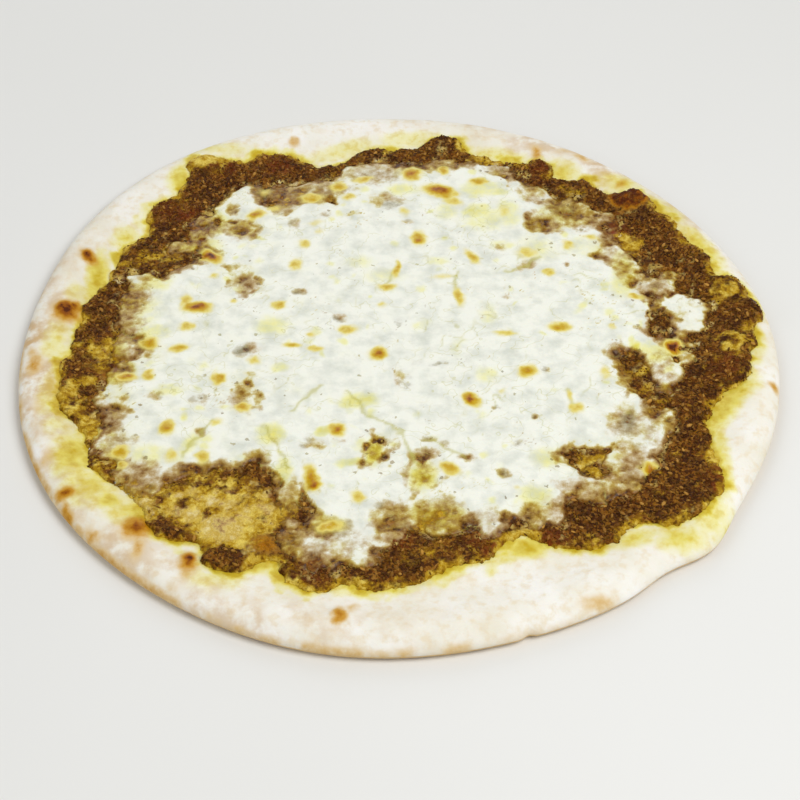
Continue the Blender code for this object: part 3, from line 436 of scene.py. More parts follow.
def even(softness):
    """The form of a spot that is even inside and fades over this share of its size round its edge."""
    return lambda out: ease((1 + softness - out) / (2 * softness))


def peaked(out):
    """The form of a spot that is strongest in its middle."""
    return np.exp(-1.3 * out**2.2)


def spots(places, form=even(0.8)):
    """A mask of uneven spots given in millimetres, each as strong as its last number says."""
    field = np.zeros_like(X)
    for *sizes, turn, strength in places:
        x, y, length, width = (MM * size for size in sizes)
        view = window(x, y, 2.2 * max(length, width) + SWAY)
        out = oval(X[view] - x + SWAY_X[view], Y[view] - y + SWAY_Y[view], length, width, turn)
        field[view] = np.maximum(field[view], strength * form(out))
    return field


def domes(places):
    """Heights of round bubbles."""
    field = np.zeros_like(X)
    for place in places:
        x, y, radius, rise = (MM * size for size in place)
        stamp(field, x, y, radius, lambda a, b: rise * ease(1.25 * (1 - np.hypot(a, b) / radius)))
    return field


def rings(places):
    """A mask of the rings round the feet of bubbles."""
    field = np.zeros_like(X)
    for x, y, radius, _ in places:
        across = MM * radius

        def ring(a, b):
            return fading(np.abs(np.hypot(a, b) / across - 0.85), 0.22)

        stamp(field, MM * x, MM * y, 1.2 * across, ring)
    return field


def joined(cover, places, way):
    """A cover with ovals given in millimetres added to it, or taken out of it where the way is -1."""
    join = np.maximum if way > 0 else np.minimum
    for x, y, length, width, turn, *_ in places:
        view = window(MM * x, MM * y, MM * (length + width + 10))
        across, up = X[view] - MM * x + 2 * SWAY_X[view], Y[view] - MM * y + 2 * SWAY_Y[view]
        inside = (1 - oval(across, up, MM * length, MM * width, turn)) * MM * math.sqrt(length * width)
        cover[view] = join(cover[view], way * inside)
    return cover


def strokes(lines, width):
    """A mask of uneven strands that run from point to point, given in millimetres."""
    field = np.zeros_like(X)
    for line in lines:
        for (x0, y0), (x1, y1) in zip(line, line[1:]):
            x, y, half_x, half_y = (MM * v / 2 for v in (x0 + x1, y0 + y1, x1 - x0, y1 - y0))
            view = window(x, y, math.hypot(half_x, half_y) + 3 * width)
            across, up = X[view] - x + 1.5 * SWAY_X[view], Y[view] - y + 1.5 * SWAY_Y[view]
            along = np.clip((across * half_x + up * half_y) / (half_x**2 + half_y**2), -1, 1)
            far = np.hypot(across - along * half_x, up - along * half_y)
            field[view] = np.maximum(field[view], np.exp(-((far / width) ** 2)))
    return field


def heading_bumps(angle, bumps):
    """The sum of bumps round the edge: heading and width in degrees, height."""
    total = np.zeros_like(angle)
    for heading, width, height in bumps:
        off = (np.degrees(angle) - heading + 180) % 360 - 180
        total += height * np.exp(-((off / width) ** 2))
    return total


def tree_of(node):
    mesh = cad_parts[node].data
    mesh.calc_loop_triangles()
    return BVHTree.FromPolygons([v.co for v in mesh.vertices], [t.vertices[:] for t in mesh.loop_triangles])


def cover_of(node):
    """How far inside a solid's outline, seen from above, each point of the plan lies: less than 0 outside."""
    tree = tree_of(node)
    axis = AXIS[::2]
    x, y = np.meshgrid(axis, axis)
    inside = [tree.ray_cast(Vector((*spot, HIGH_ABOVE)), DOWN)[0] is not None for spot in pairs(x, y + SHIFT)]
    inside = np.array(inside).reshape(x.shape)
    beside = inside[:, 1:] != inside[:, :-1]
    above = inside[1:] != inside[:-1]
    edge_x = np.concatenate([((x[:, 1:] + x[:, :-1]) / 2)[beside], x[1:][above]])
    edge_y = np.concatenate([y[:, 1:][beside], ((y[1:] + y[:-1]) / 2)[above]])
    edge = KDTree(len(edge_x))
    for i, spot in enumerate(pairs(edge_x, edge_y)):
        edge.insert((*spot, 0), i)
    edge.balance()
    far = np.array([edge.find((*spot, 0))[2] for spot in pairs(x, y)]).reshape(x.shape)
    cover = np.where(inside, far, -far)
    finer = np.arange(len(AXIS)) / 2
    cover = np.array([np.interp(finer, np.arange(len(axis)), row) for row in cover])
    cover = np.array([np.interp(finer, np.arange(len(axis)), column) for column in cover.T]).T
    return blurred(cover, 2 * PLAN_STEP)


def edge_of(node, height, count=720, averaged=9):
    """How far from the middle a solid's edge is at this height, at equal turns."""
    tree = tree_of(node)
    reaches = []
    for turn in np.arange(count) * math.tau / count:
        way = Vector((math.cos(turn), math.sin(turn), 0))
        hit = tree.ray_cast(way + Vector((0, 0, height)), -way)[0]
        reaches.append(hit.xy.length)
    # A running average takes off the corners of the solid's outline.
    wide = np.pad(reaches, averaged // 2, mode="wrap")
    return np.convolve(wide, np.ones(averaged) / averaged, mode="valid")


def read(field, x, y):
    """A field of the plan between its points."""
    u = np.clip((x + PLAN_HALF) / PLAN_STEP, 0, len(AXIS) - 1.001)
    v = np.clip((y + PLAN_HALF) / PLAN_STEP, 0, len(AXIS) - 1.001)
    i, j = u.astype(int), v.astype(int)
    u, v = u - i, v - j
    low = field[j, i] * (1 - u) + field[j, i + 1] * u
    high = field[j + 1, i] * (1 - u) + field[j + 1, i + 1] * u
    return low * (1 - v) + high * v


# --- Meshes ---------------------------------------------------------------------------------------
def mesh_from(name, points, faces, masks):
    """A smooth object at the origin with its masks as attributes."""
    mesh = bpy.data.meshes.new(name)
    mesh.from_pydata(points.tolist(), [], faces)
    for mask, values in masks.items():
        mesh.attributes.new(mask, "FLOAT", "POINT").data.foreach_set("value", values.astype(np.float32))
    mesh.shade_smooth()
    obj = bpy.data.objects.new(name, mesh)
    bpy.context.scene.collection.objects.link(obj)
    return obj


def grown(cells, steps):
    """A set of cells with those beside it, so many times over."""
    for _ in range(steps):
        wide = np.pad(cells, 1)
        cells = wide[1:-1, 1:-1] | wide[2:, 1:-1] | wide[:-2, 1:-1] | wide[1:-1, 2:] | wide[1:-1, :-2]
    return cells


def cells_within(cover):
    """The cells inside an outline, without specks and without cells that touch only at a corner."""
    cells = (cover[:-1, :-1] + cover[1:, :-1] + cover[:-1, 1:] + cover[1:, 1:]) > 0
    cells &= grown(~grown(~cells, 1), 2)
    while True:
        a, b, c, d = cells[:-1, :-1], cells[1:, 1:], cells[:-1, 1:], cells[1:, :-1]
        rising, falling = a & b & ~c & ~d, c & d & ~a & ~b
        if not (rising.any() or falling.any()):
            return cells
        c |= rising
        a |= falling


def rim_of(cells):
    """The edges round a set of cells, as pairs of point numbers with the cells on their left."""
    wide = np.pad(cells, 1)
    sides = (
        (wide[:-2, 1:-1], (0, 0), (0, 1)),
        (wide[1:-1, 2:], (0, 1), (1, 1)),
        (wide[2:, 1:-1], (1, 1), (1, 0)),
        (wide[1:-1, :-2], (1, 0), (0, 0)),
    )
    edges = []
    for beyond, start, end in sides:
        row, column = np.nonzero(cells & ~beyond)
        first = (row + start[0]) * len(AXIS) + column + start[1]
        second = (row + end[0]) * len(AXIS) + column + end[1]
        edges.append(np.stack([first, second], axis=1))
    return np.concatenate(edges)


def wide_faces(cells, spacing=14):
    """Triangles over a set of cells that use its rim and only a few points inside it."""
    rim = rim_of(cells)
    deep = ~grown(~cells, 4)
    rows, columns = np.nonzero(deep[::spacing, ::spacing])
    inner = rows * spacing * len(AXIS) + columns * spacing
    numbers = np.unique(np.concatenate([rim.ravel(), inner]))
    places = [Vector((n % len(AXIS), n // len(AXIS))) for n in numbers.tolist()]
    edges = np.searchsorted(numbers, rim).tolist()
    corners, _, faces, origins, *_ = delaunay_2d_cdt(places, edges, [], 0, 1e-4)
    kept = []
    for face in faces:
        middle = (corners[face[0]] + corners[face[1]] + corners[face[2]]) / 3
        if cells[int(middle.y), int(middle.x)]:
            kept.append([int(numbers[origins[i][0]]) for i in face])
    return kept


def laid_sheet(name, cover, top, under, masks, fine=None):
    """A closed layer over the plan where the cover is above 0, fine on top and plain where nothing shows."""
    cells = cells_within(cover)
    close = cells if fine is None else cells & fine[:-1, :-1]
    row, column = np.nonzero(close)
    first = row * len(AXIS) + column
    quads = np.stack([first, first + 1, first + len(AXIS) + 1, first + len(AXIS)], axis=1).tolist()
    upper = quads + (wide_faces(cells & ~close) if (cells & ~close).any() else [])
    lower = wide_faces(cells)
    rim = rim_of(cells)

    # Points on the rim slide onto the outline itself.
    slope_y, slope_x = np.gradient(cover, PLAN_STEP)
    push = -cover / np.maximum(slope_x**2 + slope_y**2, 0.05)
    at_rim = np.unique(rim)
    x, y, high = X.ravel().copy(), Y.ravel().copy(), top.ravel().copy()
    low = under.ravel() - EDGE_SINK
    for place, slope in ((x, slope_x), (y, slope_y)):
        place[at_rim] += np.clip((push * slope).ravel()[at_rim], -0.6 * PLAN_STEP, 0.6 * PLAN_STEP)
    high[at_rim] = under.ravel()[at_rim] + EDGE_LIP

    upper_points = np.unique(np.concatenate([np.ravel(face) for face in upper]))
    lower_points = np.unique(np.concatenate([np.ravel(face) for face in lower]))
    points = np.concatenate(
        [
            np.stack([x[upper_points], y[upper_points], high[upper_points]], axis=1),
            np.stack([x[lower_points], y[lower_points], low[lower_points]], axis=1),
        ]
    )
    above = np.full(X.size, -1)
    above[upper_points] = np.arange(len(upper_points))
    below = np.full(X.size, -1)
    below[lower_points] = len(upper_points) + np.arange(len(lower_points))
    faces = [above[face].tolist() for face in upper] + [below[face[::-1]].tolist() for face in lower]
    start, end = rim[:, 0], rim[:, 1]
    faces += np.stack([below[start], below[end], above[end], above[start]], axis=1).tolist()
    values = {
        mask: np.concatenate([field.ravel()[upper_points], 0 * lower_points]) for mask, field in masks.items()
    }
    return mesh_from(name, points, faces, values)


# --- Heights and masks ----------------------------------------------------------------------------
BREAD_EDGE = edge_of("bread", OUTLINE_HEIGHT)
EDGE_TURNS = np.arange(len(BREAD_EDGE)) * math.tau / len(BREAD_EDGE)


def bread_reach(angle):
    return np.interp(angle, EDGE_TURNS, BREAD_EDGE, period=math.tau) + heading_bumps(angle, EDGE_TRIMS)


def bread_height(x, y):
    """The smooth form of the bread's upper side."""
    angle = np.arctan2(y, x)
    depth = np.maximum(0, bread_reach(angle) - np.hypot(x, y))
    slope = ease((RIM_WIDTH - depth) / (RIM_WIDTH - CREST_INSET))
    rise = RIM_RISE * (1 + heading_bumps(angle, RIM_PUFFS)) + waves(x, y, BREAD_WAVES)
    height = FLOOR_HEIGHT + slope * rise
    across = np.maximum(0, 1 - depth / CREST_INSET)
    return EDGE_HEIGHT + (height - EDGE_HEIGHT) * np.sqrt(1 - across**2)


def rounded(depth, reach):
    """A layer's share of its thickness this far in from its edge."""
    across = 1 - np.clip(depth / reach, 0, 1)
    return np.sqrt(1 - across**2)


def random_bumps(rng, count, sizes, heights, mask):
    """Many small round bumps spread over a mask."""
    field = np.zeros_like(X)
    rows, columns = np.nonzero(mask)
    for pick in rng.integers(0, len(rows), count):
        radius, height = rng.uniform(*sizes), rng.uniform(*heights)
        x = AXIS[columns[pick]] + rng.uniform(-PLAN_STEP, PLAN_STEP)
        y = AXIS[rows[pick]] + rng.uniform(-PLAN_STEP, PLAN_STEP)
        stamp(field, x, y, radius, lambda a, b: height * ease(1.3 * (1 - np.hypot(a, b) / radius)))
    return field


def shreds(rng, mask, count, lengths, widths, least):
    """Relief of half melted shreds, laid every way over each other."""
    field = np.zeros_like(X)
    rows, columns = np.nonzero(mask)
    for pick in rng.integers(0, len(rows), count):
        length, width = rng.uniform(*lengths) / 2, rng.uniform(*widths)
        turn, bend = rng.uniform(0, math.pi), rng.uniform(-SHRED_BEND, SHRED_BEND)
        strength = rng.uniform(least, 1)

        def shape(across, up):
            along = across * math.cos(turn) + up * math.sin(turn)
            aside = up * math.cos(turn) - across * math.sin(turn) + bend * along**2
            out = np.hypot(np.maximum(0, np.abs(along) - length) / width, aside / width)
            return strength * ease(1.15 * (1 - out))

        stamp(field, AXIS[columns[pick]], AXIS[rows[pick]], length + 2 * width, shape)
    return field


rng = np.random.default_rng(41)
SWAY_X, SWAY_Y = (SWAY * clouds(X, Y, 0.0042, seed, 2) for seed in (51, 52))
paste_cover = joined(joined(blurred(cover_of("zaatar"), PASTE_SMOOTHING), PASTE_LOBES, 1), PASTE_BITES, -1)
cheese_cover = joined(joined(cover_of("cheese"), VEILS, 1), GAPS, -1)
plan_angle = np.arctan2(Y, X)
bread_cover = bread_reach(plan_angle) - np.hypot(X, Y)
dark = spots(DARK_LUMPS, even(0.6))

# The paste crumbles at its edge, and the cheese ran out unevenly and is lace where it is thin.
paste_edge = blurred(paste_cover, 0.0024) + 0.0004 + waves(X, Y, PASTE_CRUMBLE)
mottle = 0.66 + 0.55 * drifts(0.5, 0.55, 0.0042, 61)
thinness = np.maximum(spots(THIN_PATCHES, peaked), spots(VEILS, even(0.7))) * mottle
threads = shreds(rng, cheese_cover > -0.006, LACE_COUNT, LACE_LENGTHS, LACE_WIDTHS, LACE_LEAST)
threads = blurred(threads, SHRED_BLUR)
cheese_edge = blurred(cheese_cover, 0.0020) + 0.0004 + waves(X, Y, CHEESE_RUNS)
cheese_edge += 0.0030 * (threads - 0.50) * fading(cheese_edge, 0.007)
cheese_edge = np.minimum(cheese_edge, paste_edge + 0.0025)

# The bread's top: its smooth form, and bubbles wherever no paste lies.
smooth_top = bread_height(X, Y)
bread_top = smooth_top + domes(BREAD_BUBBLES) * ease(-paste_cover / 0.002)
skin = (bread_cover > 0.004) & (paste_cover < 0)
bread_top += random_bumps(rng, SKIN_BUBBLES, SKIN_BUBBLE_SIZES, SKIN_BUBBLE_HEIGHTS, skin)
bubbled = bread_top - smooth_top
bread_toast = spots(BREAD_TOASTS, peaked)
# The rim a little browner and pinker: partly its own baked tone, and on the left side partly painted shade.
blush_and_shade = 0.85 * heading_bumps(plan_angle, BLUSHES_AND_SHADE)
blush_and_shade *= ease((0.024 - bread_cover) / 0.018) * drifts(0.62, 0.9, 0.017, 22)

# The oil drew a halo on the bread round the paste, deepest right beside it.
soaked = -paste_edge + 0.0026 * clouds(X, Y, 0.0100, 21)
halo = 0.58 * fading(soaked, 0.0046) * drifts(0.75, 0.6, 0.030, 23)
bread_oil = np.maximum(spots(OIL_POOLS, even(1)), halo) + 0.07 * fading(soaked, 0.014)
bread_oil = np.maximum(bread_oil, 0.95 * fading(soaked, 0.0022))

# The paste is golden in patches and along its edge, under a film of fat round the cheese, and lumpy.
golden = spots(GOLDEN_PATCHES) * (1 - 0.68 * dark)
oily_edge = 0.90 * ease(1.1 - paste_edge / 0.0042) * drifts(0.65, 0.7, 0.012, 33)
golden = np.maximum(np.maximum(golden, oily_edge), 0.7 * fading(paste_edge, 0.0018))
golden *= 1 - 0.60 * rings(RINGED_BUBBLES)
film = ease(1 + cheese_edge / 0.0055) * (0.35 + 0.60 * threads) * np.maximum(0, 1 - 0.6 * golden)
film = np.maximum(spots(FILMS), film) * (1 - 0.8 * dark)
red = spots(REDDISH_PATCHES)
paste_toast = np.maximum(spots(BROWNED_BUBBLES, even(0.22)), spots(PASTE_TOASTS, peaked))
lumps = 0.0006 + 0.0003 * clouds(X, Y, 0.0085, 11) + 0.0006 * spots(DARK_LUMPS)
gritty = (paste_cover > 0) & (cheese_cover < 0.004)
grit = random_bumps(rng, GRITS, GRIT_SIZES, GRIT_HEIGHTS, gritty)
bubbles = domes(PASTE_BUBBLES)
dry = 1 - 0.55 * golden
paste_skin = PASTE_THICKNESS + ease(-cheese_edge / 0.006) * (dry * lumps + bubbles)
paste_skin += dry * grit * ease(-cheese_edge / 0.0015)
paste_top = bread_top + paste_skin * rounded(paste_edge, PASTE_ROUNDING)

# The cheese lies on the paste, thinner toward its edge, with blisters and half melted shreds.
blister = 1.05 * spots(BLISTERS, lambda out: peaked(1.02 * out))
melt = shreds(rng, cheese_cover > 0, SHRED_COUNT, SHRED_LENGTHS, SHRED_WIDTHS, SHRED_LEAST)
relief = waves(X, Y, CHEESE_WAVES) + 0.00034 * blurred(melt, SHRED_BLUR) + 0.0005 * blister
body = CHEESE_THICKNESS * (1 - 0.70 * thinness) * (1 - np.exp(-np.maximum(cheese_edge, 0) / 0.0026))
cheese_skin = body + relief * ease(cheese_edge / 0.004)
cheese_skin += 0.5 * grit * ease(1.6 * thinness) * ease(cheese_edge / 0.001)
cheese_under = bread_top + PASTE_THICKNESS * rounded(paste_edge, PASTE_ROUNDING)
cheese_top = cheese_under + np.maximum(cheese_skin, CHEESE_LEAST)

# It is see-through where it is thin, at its edge and a little along cracks.
crisp = spots([veil for veil in VEILS if veil[5] < VEIL_CRISP], even(0.5))
fade = 0.0026 + 0.0066 * drifts(0.55, 0.8, 0.0150, 62) * (1 - ease(3 * crisp))
cracks = winding_lines(0.0090, 73, 4, 0.055) * drifts(0.25, 1.2, 0.026, 74)
see_through = np.maximum(np.maximum(thinness, fading(cheese_edge, fade) ** 1.2), 0.32 * cracks)
see_through = np.clip(see_through + 0.36 * (0.5 - threads) * ease(see_through / 0.25), 0, 1)

# It took up oil in stains, and turned olive in strands and veins.
small_stains = [
    (
        *rng.uniform(-STAINED_HALF, STAINED_HALF, 2),
        *rng.uniform(*STAIN_SIZES, 2),
        rng.uniform(0, 180),
        rng.uniform(*STAIN_STRENGTHS),
    )
    for _ in range(SMALL_STAINS)
]
stained = np.maximum(spots(OLIVE_STAINS), spots(small_stains))
creamy = waves(X, Y, CREAM_WAVES) + 0.05 * ease(-X / 0.10)
cheese_oil = 0.72 * stained + np.maximum(creamy, 0) + 0.08 * fading(cheese_edge, 0.010)
veins = winding_lines(0.0130, 71, 2, 0.085) * drifts(0.1, 0.8, 0.020, 72)
olive = np.maximum(0.66 * strokes(STRANDS, 0.0008), 0.5 * veins)
flecks = fading(cheese_edge, 0.020)

# Loose grains lie where no cheese covers the paste, few of them where it is golden, filmed or browned.
bare = ease((0.0014 - cheese_edge) / 0.0016) * (paste_edge > 0.0004)
bare *= (1 - 0.98 * ease(golden / 0.9)) * (1 - 0.9 * spots(FILMS))
bare *= (1 - 0.55 * ease(bubbles / 0.0006)) * (1 - ease(paste_toast / 0.3))


# --- Shader tools ---------------------------------------------------------------------------------
def linear(red, green, blue):
    """A colour as it is seen on a screen, 0 to 255, in the units that shaders use."""
    return (*(((c / 255 + 0.055) / 1.055) ** 2.4 if c > 10 else c / 3294 for c in (red, green, blue)), 1)


class Nodes:
    """Short ways to add nodes to one tree."""

    def __init__(self, tree):
        self.tree = tree

    def join(self, value, socket):
        if isinstance(value, bpy.types.NodeSocket):
            self.tree.links.new(value, socket)
        else:
            socket.default_value = value

    def add(self, kind, settings=(), inputs=()):
        node = self.tree.nodes.new(kind)
        for name, value in dict(settings).items():
            setattr(node, name, value)
        for name, value in dict(inputs).items():
            self.join(value, node.inputs[name])
        return node

    def mask(self, name):
        return self.add("ShaderNodeAttribute", {"attribute_name": name}).outputs["Fac"]

    def place(self):
        return self.add("ShaderNodeTexCoord").outputs["Object"]

    def noise(self, size, detail=3.0, roughness=0.55):
        inputs = {"Vector": self.place(), "Scale": 1 / size, "Detail": detail, "Roughness": roughness}
        return self.add("ShaderNodeTexNoise", (), inputs).outputs["Fac"]

    def stretched(self, size, detail, reach, start, roughness=0.55):
        """Noise that runs over this reach from a start."""
        return self.sum("MULTIPLY_ADD", self.noise(size, detail, roughness), reach, start)

    def patches(self, size, detail, low, high, to_low=0.0, to_high=1.0):
        """Noise made into soft patches."""
        return self.between(self.noise(size, detail), low, high, to_low, to_high)

    def pebbles(self, size, place=None):
        return self.add("ShaderNodeTexVoronoi", (), {"Vector": place or self.place(), "Scale": 1 / size})

    def vector(self, parts):
        return self.add("ShaderNodeCombineXYZ", (), parts).outputs[0]

    def scaled(self, vector, times):
        inputs = {0: vector, "Scale": times}
        return self.add("ShaderNodeVectorMath", {"operation": "SCALE"}, inputs).outputs[0]

    def parts(self, colour):
        return self.add("ShaderNodeSeparateColor", (), {"Color": colour}).outputs

    def sum(self, operation, first, second=0.0, third=0.0, clamp=False):
        settings = {"operation": operation, "use_clamp": clamp}
        return self.add("ShaderNodeMath", settings, {0: first, 1: second, 2: third}).outputs[0]

    def between(self, value, low, high, to_low=0.0, to_high=1.0):
        inputs = {"Value": value, "From Min": low, "From Max": high, "To Min": to_low, "To Max": to_high}
        return self.add("ShaderNodeMapRange", {"interpolation_type": "SMOOTHSTEP"}, inputs).outputs["Result"]

    def blend(self, share, first, second, kind="MIX"):
        """A share of the second colour over the first."""
        node = self.add("ShaderNodeMix", {"data_type": "RGBA", "blend_type": kind})
        for slot, value in ((0, share), (6, first), (7, second)):
            self.join(value, node.inputs[slot])
        return node.outputs[2]

    def ramp(self, value, stops):
        """The colours that a value runs through: where each lies, then its red, green and blue."""
        node = self.add("ShaderNodeValToRGB", (), {"Fac": value})
        while len(node.color_ramp.elements) < len(stops):
            node.color_ramp.elements.new(0.5)
        for element, (at, *colour) in zip(node.color_ramp.elements, stops):
            element.position, element.color = at, linear(*colour)
        return node.outputs["Color"]

    def bump(self, height, depth, strength):
        inputs = {"Height": height, "Distance": depth, "Strength": strength}
        return self.add("ShaderNodeBump", (), inputs).outputs["Normal"]

    def group(self, group, inputs):
        return self.add("ShaderNodeGroup", {"node_tree": group}, inputs).outputs


def group_tree(name, inputs, outputs):
    """An empty shader node group with these sockets."""
    tree = bpy.data.node_groups.new(name, "ShaderNodeTree")
    kinds = {"value": "NodeSocketFloat", "colour": "NodeSocketColor"}
    for way, sockets in (("INPUT", inputs), ("OUTPUT", outputs)):
        for socket, kind in sockets.items():
            tree.interface.new_socket(name=socket, in_out=way, socket_type=kinds[kind])
    nodes = Nodes(tree)
    return tree, nodes, nodes.add("NodeGroupInput").outputs, nodes.add("NodeGroupOutput").inputs


def browning_group():
    """A base colour that turns through two given ones to brown and nearly black as the toast mask rises."""
    inputs = {"Colour": "colour", "Toast": "value", "Light": "colour", "Medium": "colour"}
    tree, nodes, given, put = group_tree("browning", inputs, {"Colour": "colour"})
    near = nodes.between(given["Toast"], 0.02, 0.45)
    broken = nodes.stretched(0.0024, 4.0, 0.56, -0.28)
    toast = nodes.sum("MULTIPLY_ADD", broken, near, given["Toast"], clamp=True)
    colour = given["Colour"]
    for start, full, browner in (
        (0.02, 0.32, given["Light"]),
        (0.22, 0.56, given["Medium"]),
        (0.52, 0.80, linear(176, 114, 8)),
        (0.72, 0.92, linear(140, 76, 4)),
        (0.90, 1.00, linear(84, 34, 2)),
    ):
        colour = nodes.blend(nodes.between(toast, start, full), colour, browner)
    tree.links.new(colour, put["Colour"])
    return tree


def oil_group():
    """Oil soaked into a surface: yellow-green where thin, olive where it pools, and smooth."""
    inputs = {"Colour": "colour", "Oil": "value", "Roughness": "value"}
    outputs = {"Colour": "colour", "Roughness": "value"}
    tree, nodes, given, put = group_tree("oil", inputs, outputs)
    near = nodes.between(given["Oil"], 0.02, 0.40)
    cloudy = nodes.stretched(0.0040, 4.0, 0.8, -0.4)
    oil = nodes.sum("MULTIPLY_ADD", cloudy, near, given["Oil"], clamp=True)
    tint = nodes.ramp(oil, (
        (0.00, 255, 255, 246),
        (0.30, 250, 247, 196),
        (0.62, 242, 232, 122),
        (1.00, 218, 194, 52),
    ))
    share = nodes.between(oil, 0.0, 0.25)
    tree.links.new(nodes.blend(share, given["Colour"], tint, "MULTIPLY"), put["Colour"])
    dry = nodes.sum("SUBTRACT", 1.0, nodes.sum("MULTIPLY", oil, 0.55))
    tree.links.new(nodes.sum("MULTIPLY", given["Roughness"], dry), put["Roughness"])
    return tree


def herbs_group():
    """Ground thyme and sumac in oil: dark brown grains, ruddy in patches and golden where it is thin."""
    inputs = {"Golden": "value", "Red": "value"}
    tree, nodes, given, put = group_tree("herbs", inputs, {"Colour": "colour", "Height": "value"})
    grain = nodes.pebbles(0.0011)
    tone = nodes.parts(grain.outputs["Color"])["Red"]
    herbs = nodes.ramp(tone, (
        (0.00, 62, 32, 4),
        (0.35, 92, 50, 6),
        (0.62, 118, 71, 11),
        (0.82, 142, 93, 24),
        (1.00, 158, 112, 44),
    ))
    herbs = nodes.blend(nodes.patches(0.0070, 4.0, 0.44, 0.62, 0, 0.62), herbs, linear(52, 23, 5))
    ruddy = nodes.sum("MULTIPLY", given["Red"], nodes.patches(0.0030, 3.0, 0.35, 0.60))
    herbs = nodes.blend(ruddy, herbs, linear(128, 58, 14))
    calm = nodes.sum("MULTIPLY_ADD", tone, 0.35, nodes.stretched(0.0046, 5.0, 2.8, -1.48, 0.65))
    calm = nodes.sum("MULTIPLY_ADD", given["Golden"], 0.5, calm)
    gold = nodes.ramp(calm, ((0.0, 128, 86, 6), (0.45, 188, 148, 28), (1.0, 232, 206, 96)))
    patchy = nodes.sum("ADD", nodes.stretched(0.0050, 4.0, 3.2, -1.6), given["Golden"])
    tree.links.new(nodes.blend(nodes.between(patchy, 0.20, 0.90), herbs, gold), put["Colour"])
    rough = nodes.sum("MULTIPLY_ADD", grain.outputs["Distance"], -1.0, nodes.noise(0.0006, 3.0))
    tree.links.new(rough, put["Height"])
    return tree


BROWNING = browning_group()
OIL = oil_group()
HERBS = herbs_group()


def browned(nodes, colour, light, medium):
    """A colour browned by the toast mask, through a light and a medium tone."""
    tones = {"Light": linear(*light), "Medium": linear(*medium)}
    return nodes.group(BROWNING, {"Colour": colour, "Toast": nodes.mask("toast"), **tones})["Colour"]


def oiled(nodes, colour, roughness):
    """A colour and a roughness under the oil mask."""
    given = {"Colour": colour, "Oil": nodes.mask("oil"), "Roughness": roughness}
    soaked = nodes.group(OIL, given)
    return soaked["Colour"], soaked["Roughness"]


def herbs_on(nodes):
    return nodes.group(HERBS, {"Golden": nodes.mask("golden"), "Red": nodes.mask("red")})


def material(name):
    made = bpy.data.materials.new(name)
    made.use_nodes = True
    nodes = Nodes(made.node_tree)
    shader = made.node_tree.nodes["Principled BSDF"]
    return made, nodes, shader


def finish_shader(nodes, shader, colour, roughness, normal, shine):
    for name, value in (("Base Color", colour), ("Roughness", roughness), ("Normal", normal)):
        nodes.tree.links.new(value, shader.inputs[name])
    shader.inputs["Specular IOR Level"].default_value = shine


def let_light_in(shader, weight, reaches):
    """Some light spreads under the surface, red the furthest."""
    shader.inputs["Subsurface Weight"].default_value = weight
    shader.inputs["Subsurface Radius"].default_value = reaches
    shader.inputs["Subsurface Scale"].default_value = 1.0


def bread_material():
    """Pale baked dough, floury and dry, with toasted spots, a browned underside and oil round the paste."""
    made, nodes, shader = material("baked dough")
    dough = nodes.ramp(nodes.noise(0.022, 4.0), ((0.30, 232, 226, 206), (0.66, 245, 243, 236)))
    dough = nodes.blend(nodes.patches(0.0040, 4.0, 0.46, 0.70, 0, 0.70), dough, linear(231, 217, 188))
    # Browner, pinker patches along the rim, on its left side partly painted shade.
    mottled_blush_and_shade = nodes.sum("MULTIPLY", nodes.mask("blush_and_shade"), nodes.patches(0.0065, 4.0, 0.34, 0.62))
    dough = nodes.blend(mottled_blush_and_shade, dough, linear(206, 172, 122))
    leopard = nodes.patches(0.011, 4.0, 0.42, 0.66)
    baked = nodes.blend(leopard, linear(228, 190, 130), linear(150, 92, 44))
    dough = nodes.blend(nodes.mask("under"), dough, baked)
    dough = browned(nodes, dough, (222, 194, 142), (202, 150, 56))
    dough, roughness = oiled(nodes, dough, 0.62)
    pores = nodes.sum("ADD", nodes.noise(0.0012, 3.0), nodes.sum("MULTIPLY", nodes.noise(0.006, 2.0), 1.6))
    finish_shader(nodes, shader, dough, roughness, nodes.bump(pores, 0.00022, 0.8), 0.15)
    let_light_in(shader, 0.10, (0.0012, 0.0009, 0.0006))
    return made


def paste_material():
    """Zaatar paste, dull and pale under films of fat."""
    made, nodes, shader = material("zaatar paste")
    herbs = herbs_on(nodes)
    tallow = nodes.ramp(nodes.stretched(0.0050, 5.0, 1.7, -0.31, 0.6), (
        (0.18, 136, 96, 54),
        (0.34, 196, 160, 100),
        (0.46, 224, 200, 118),
        (0.57, 204, 170, 74),
        (0.70, 230, 209, 136),
        (0.88, 239, 226, 184),
    ))
    greasy = nodes.sum("ADD", nodes.mask("film"), nodes.stretched(0.0056, 5.0, 3.0, -1.65))
    colour = nodes.blend(nodes.between(greasy, 0.25, 1.0, 0, 0.88), herbs["Colour"], tallow)
    colour = browned(nodes, colour, (160, 114, 38), (172, 114, 18))
    toasted = nodes.between(nodes.mask("toast"), 0.0, 0.1)
    grainy = nodes.sum("MULTIPLY", nodes.patches(0.0018, 4.0, 0.42, 0.60, 0, 0.55), toasted)
    colour = nodes.blend(grainy, colour, herbs["Colour"])
    roughness = nodes.patches(0.0020, 3.0, 0.35, 0.65, 0.25, 0.60)
    finish_shader(nodes, shader, colour, roughness, nodes.bump(herbs["Height"], 0.0005, 0.9), 0.10)
    return made


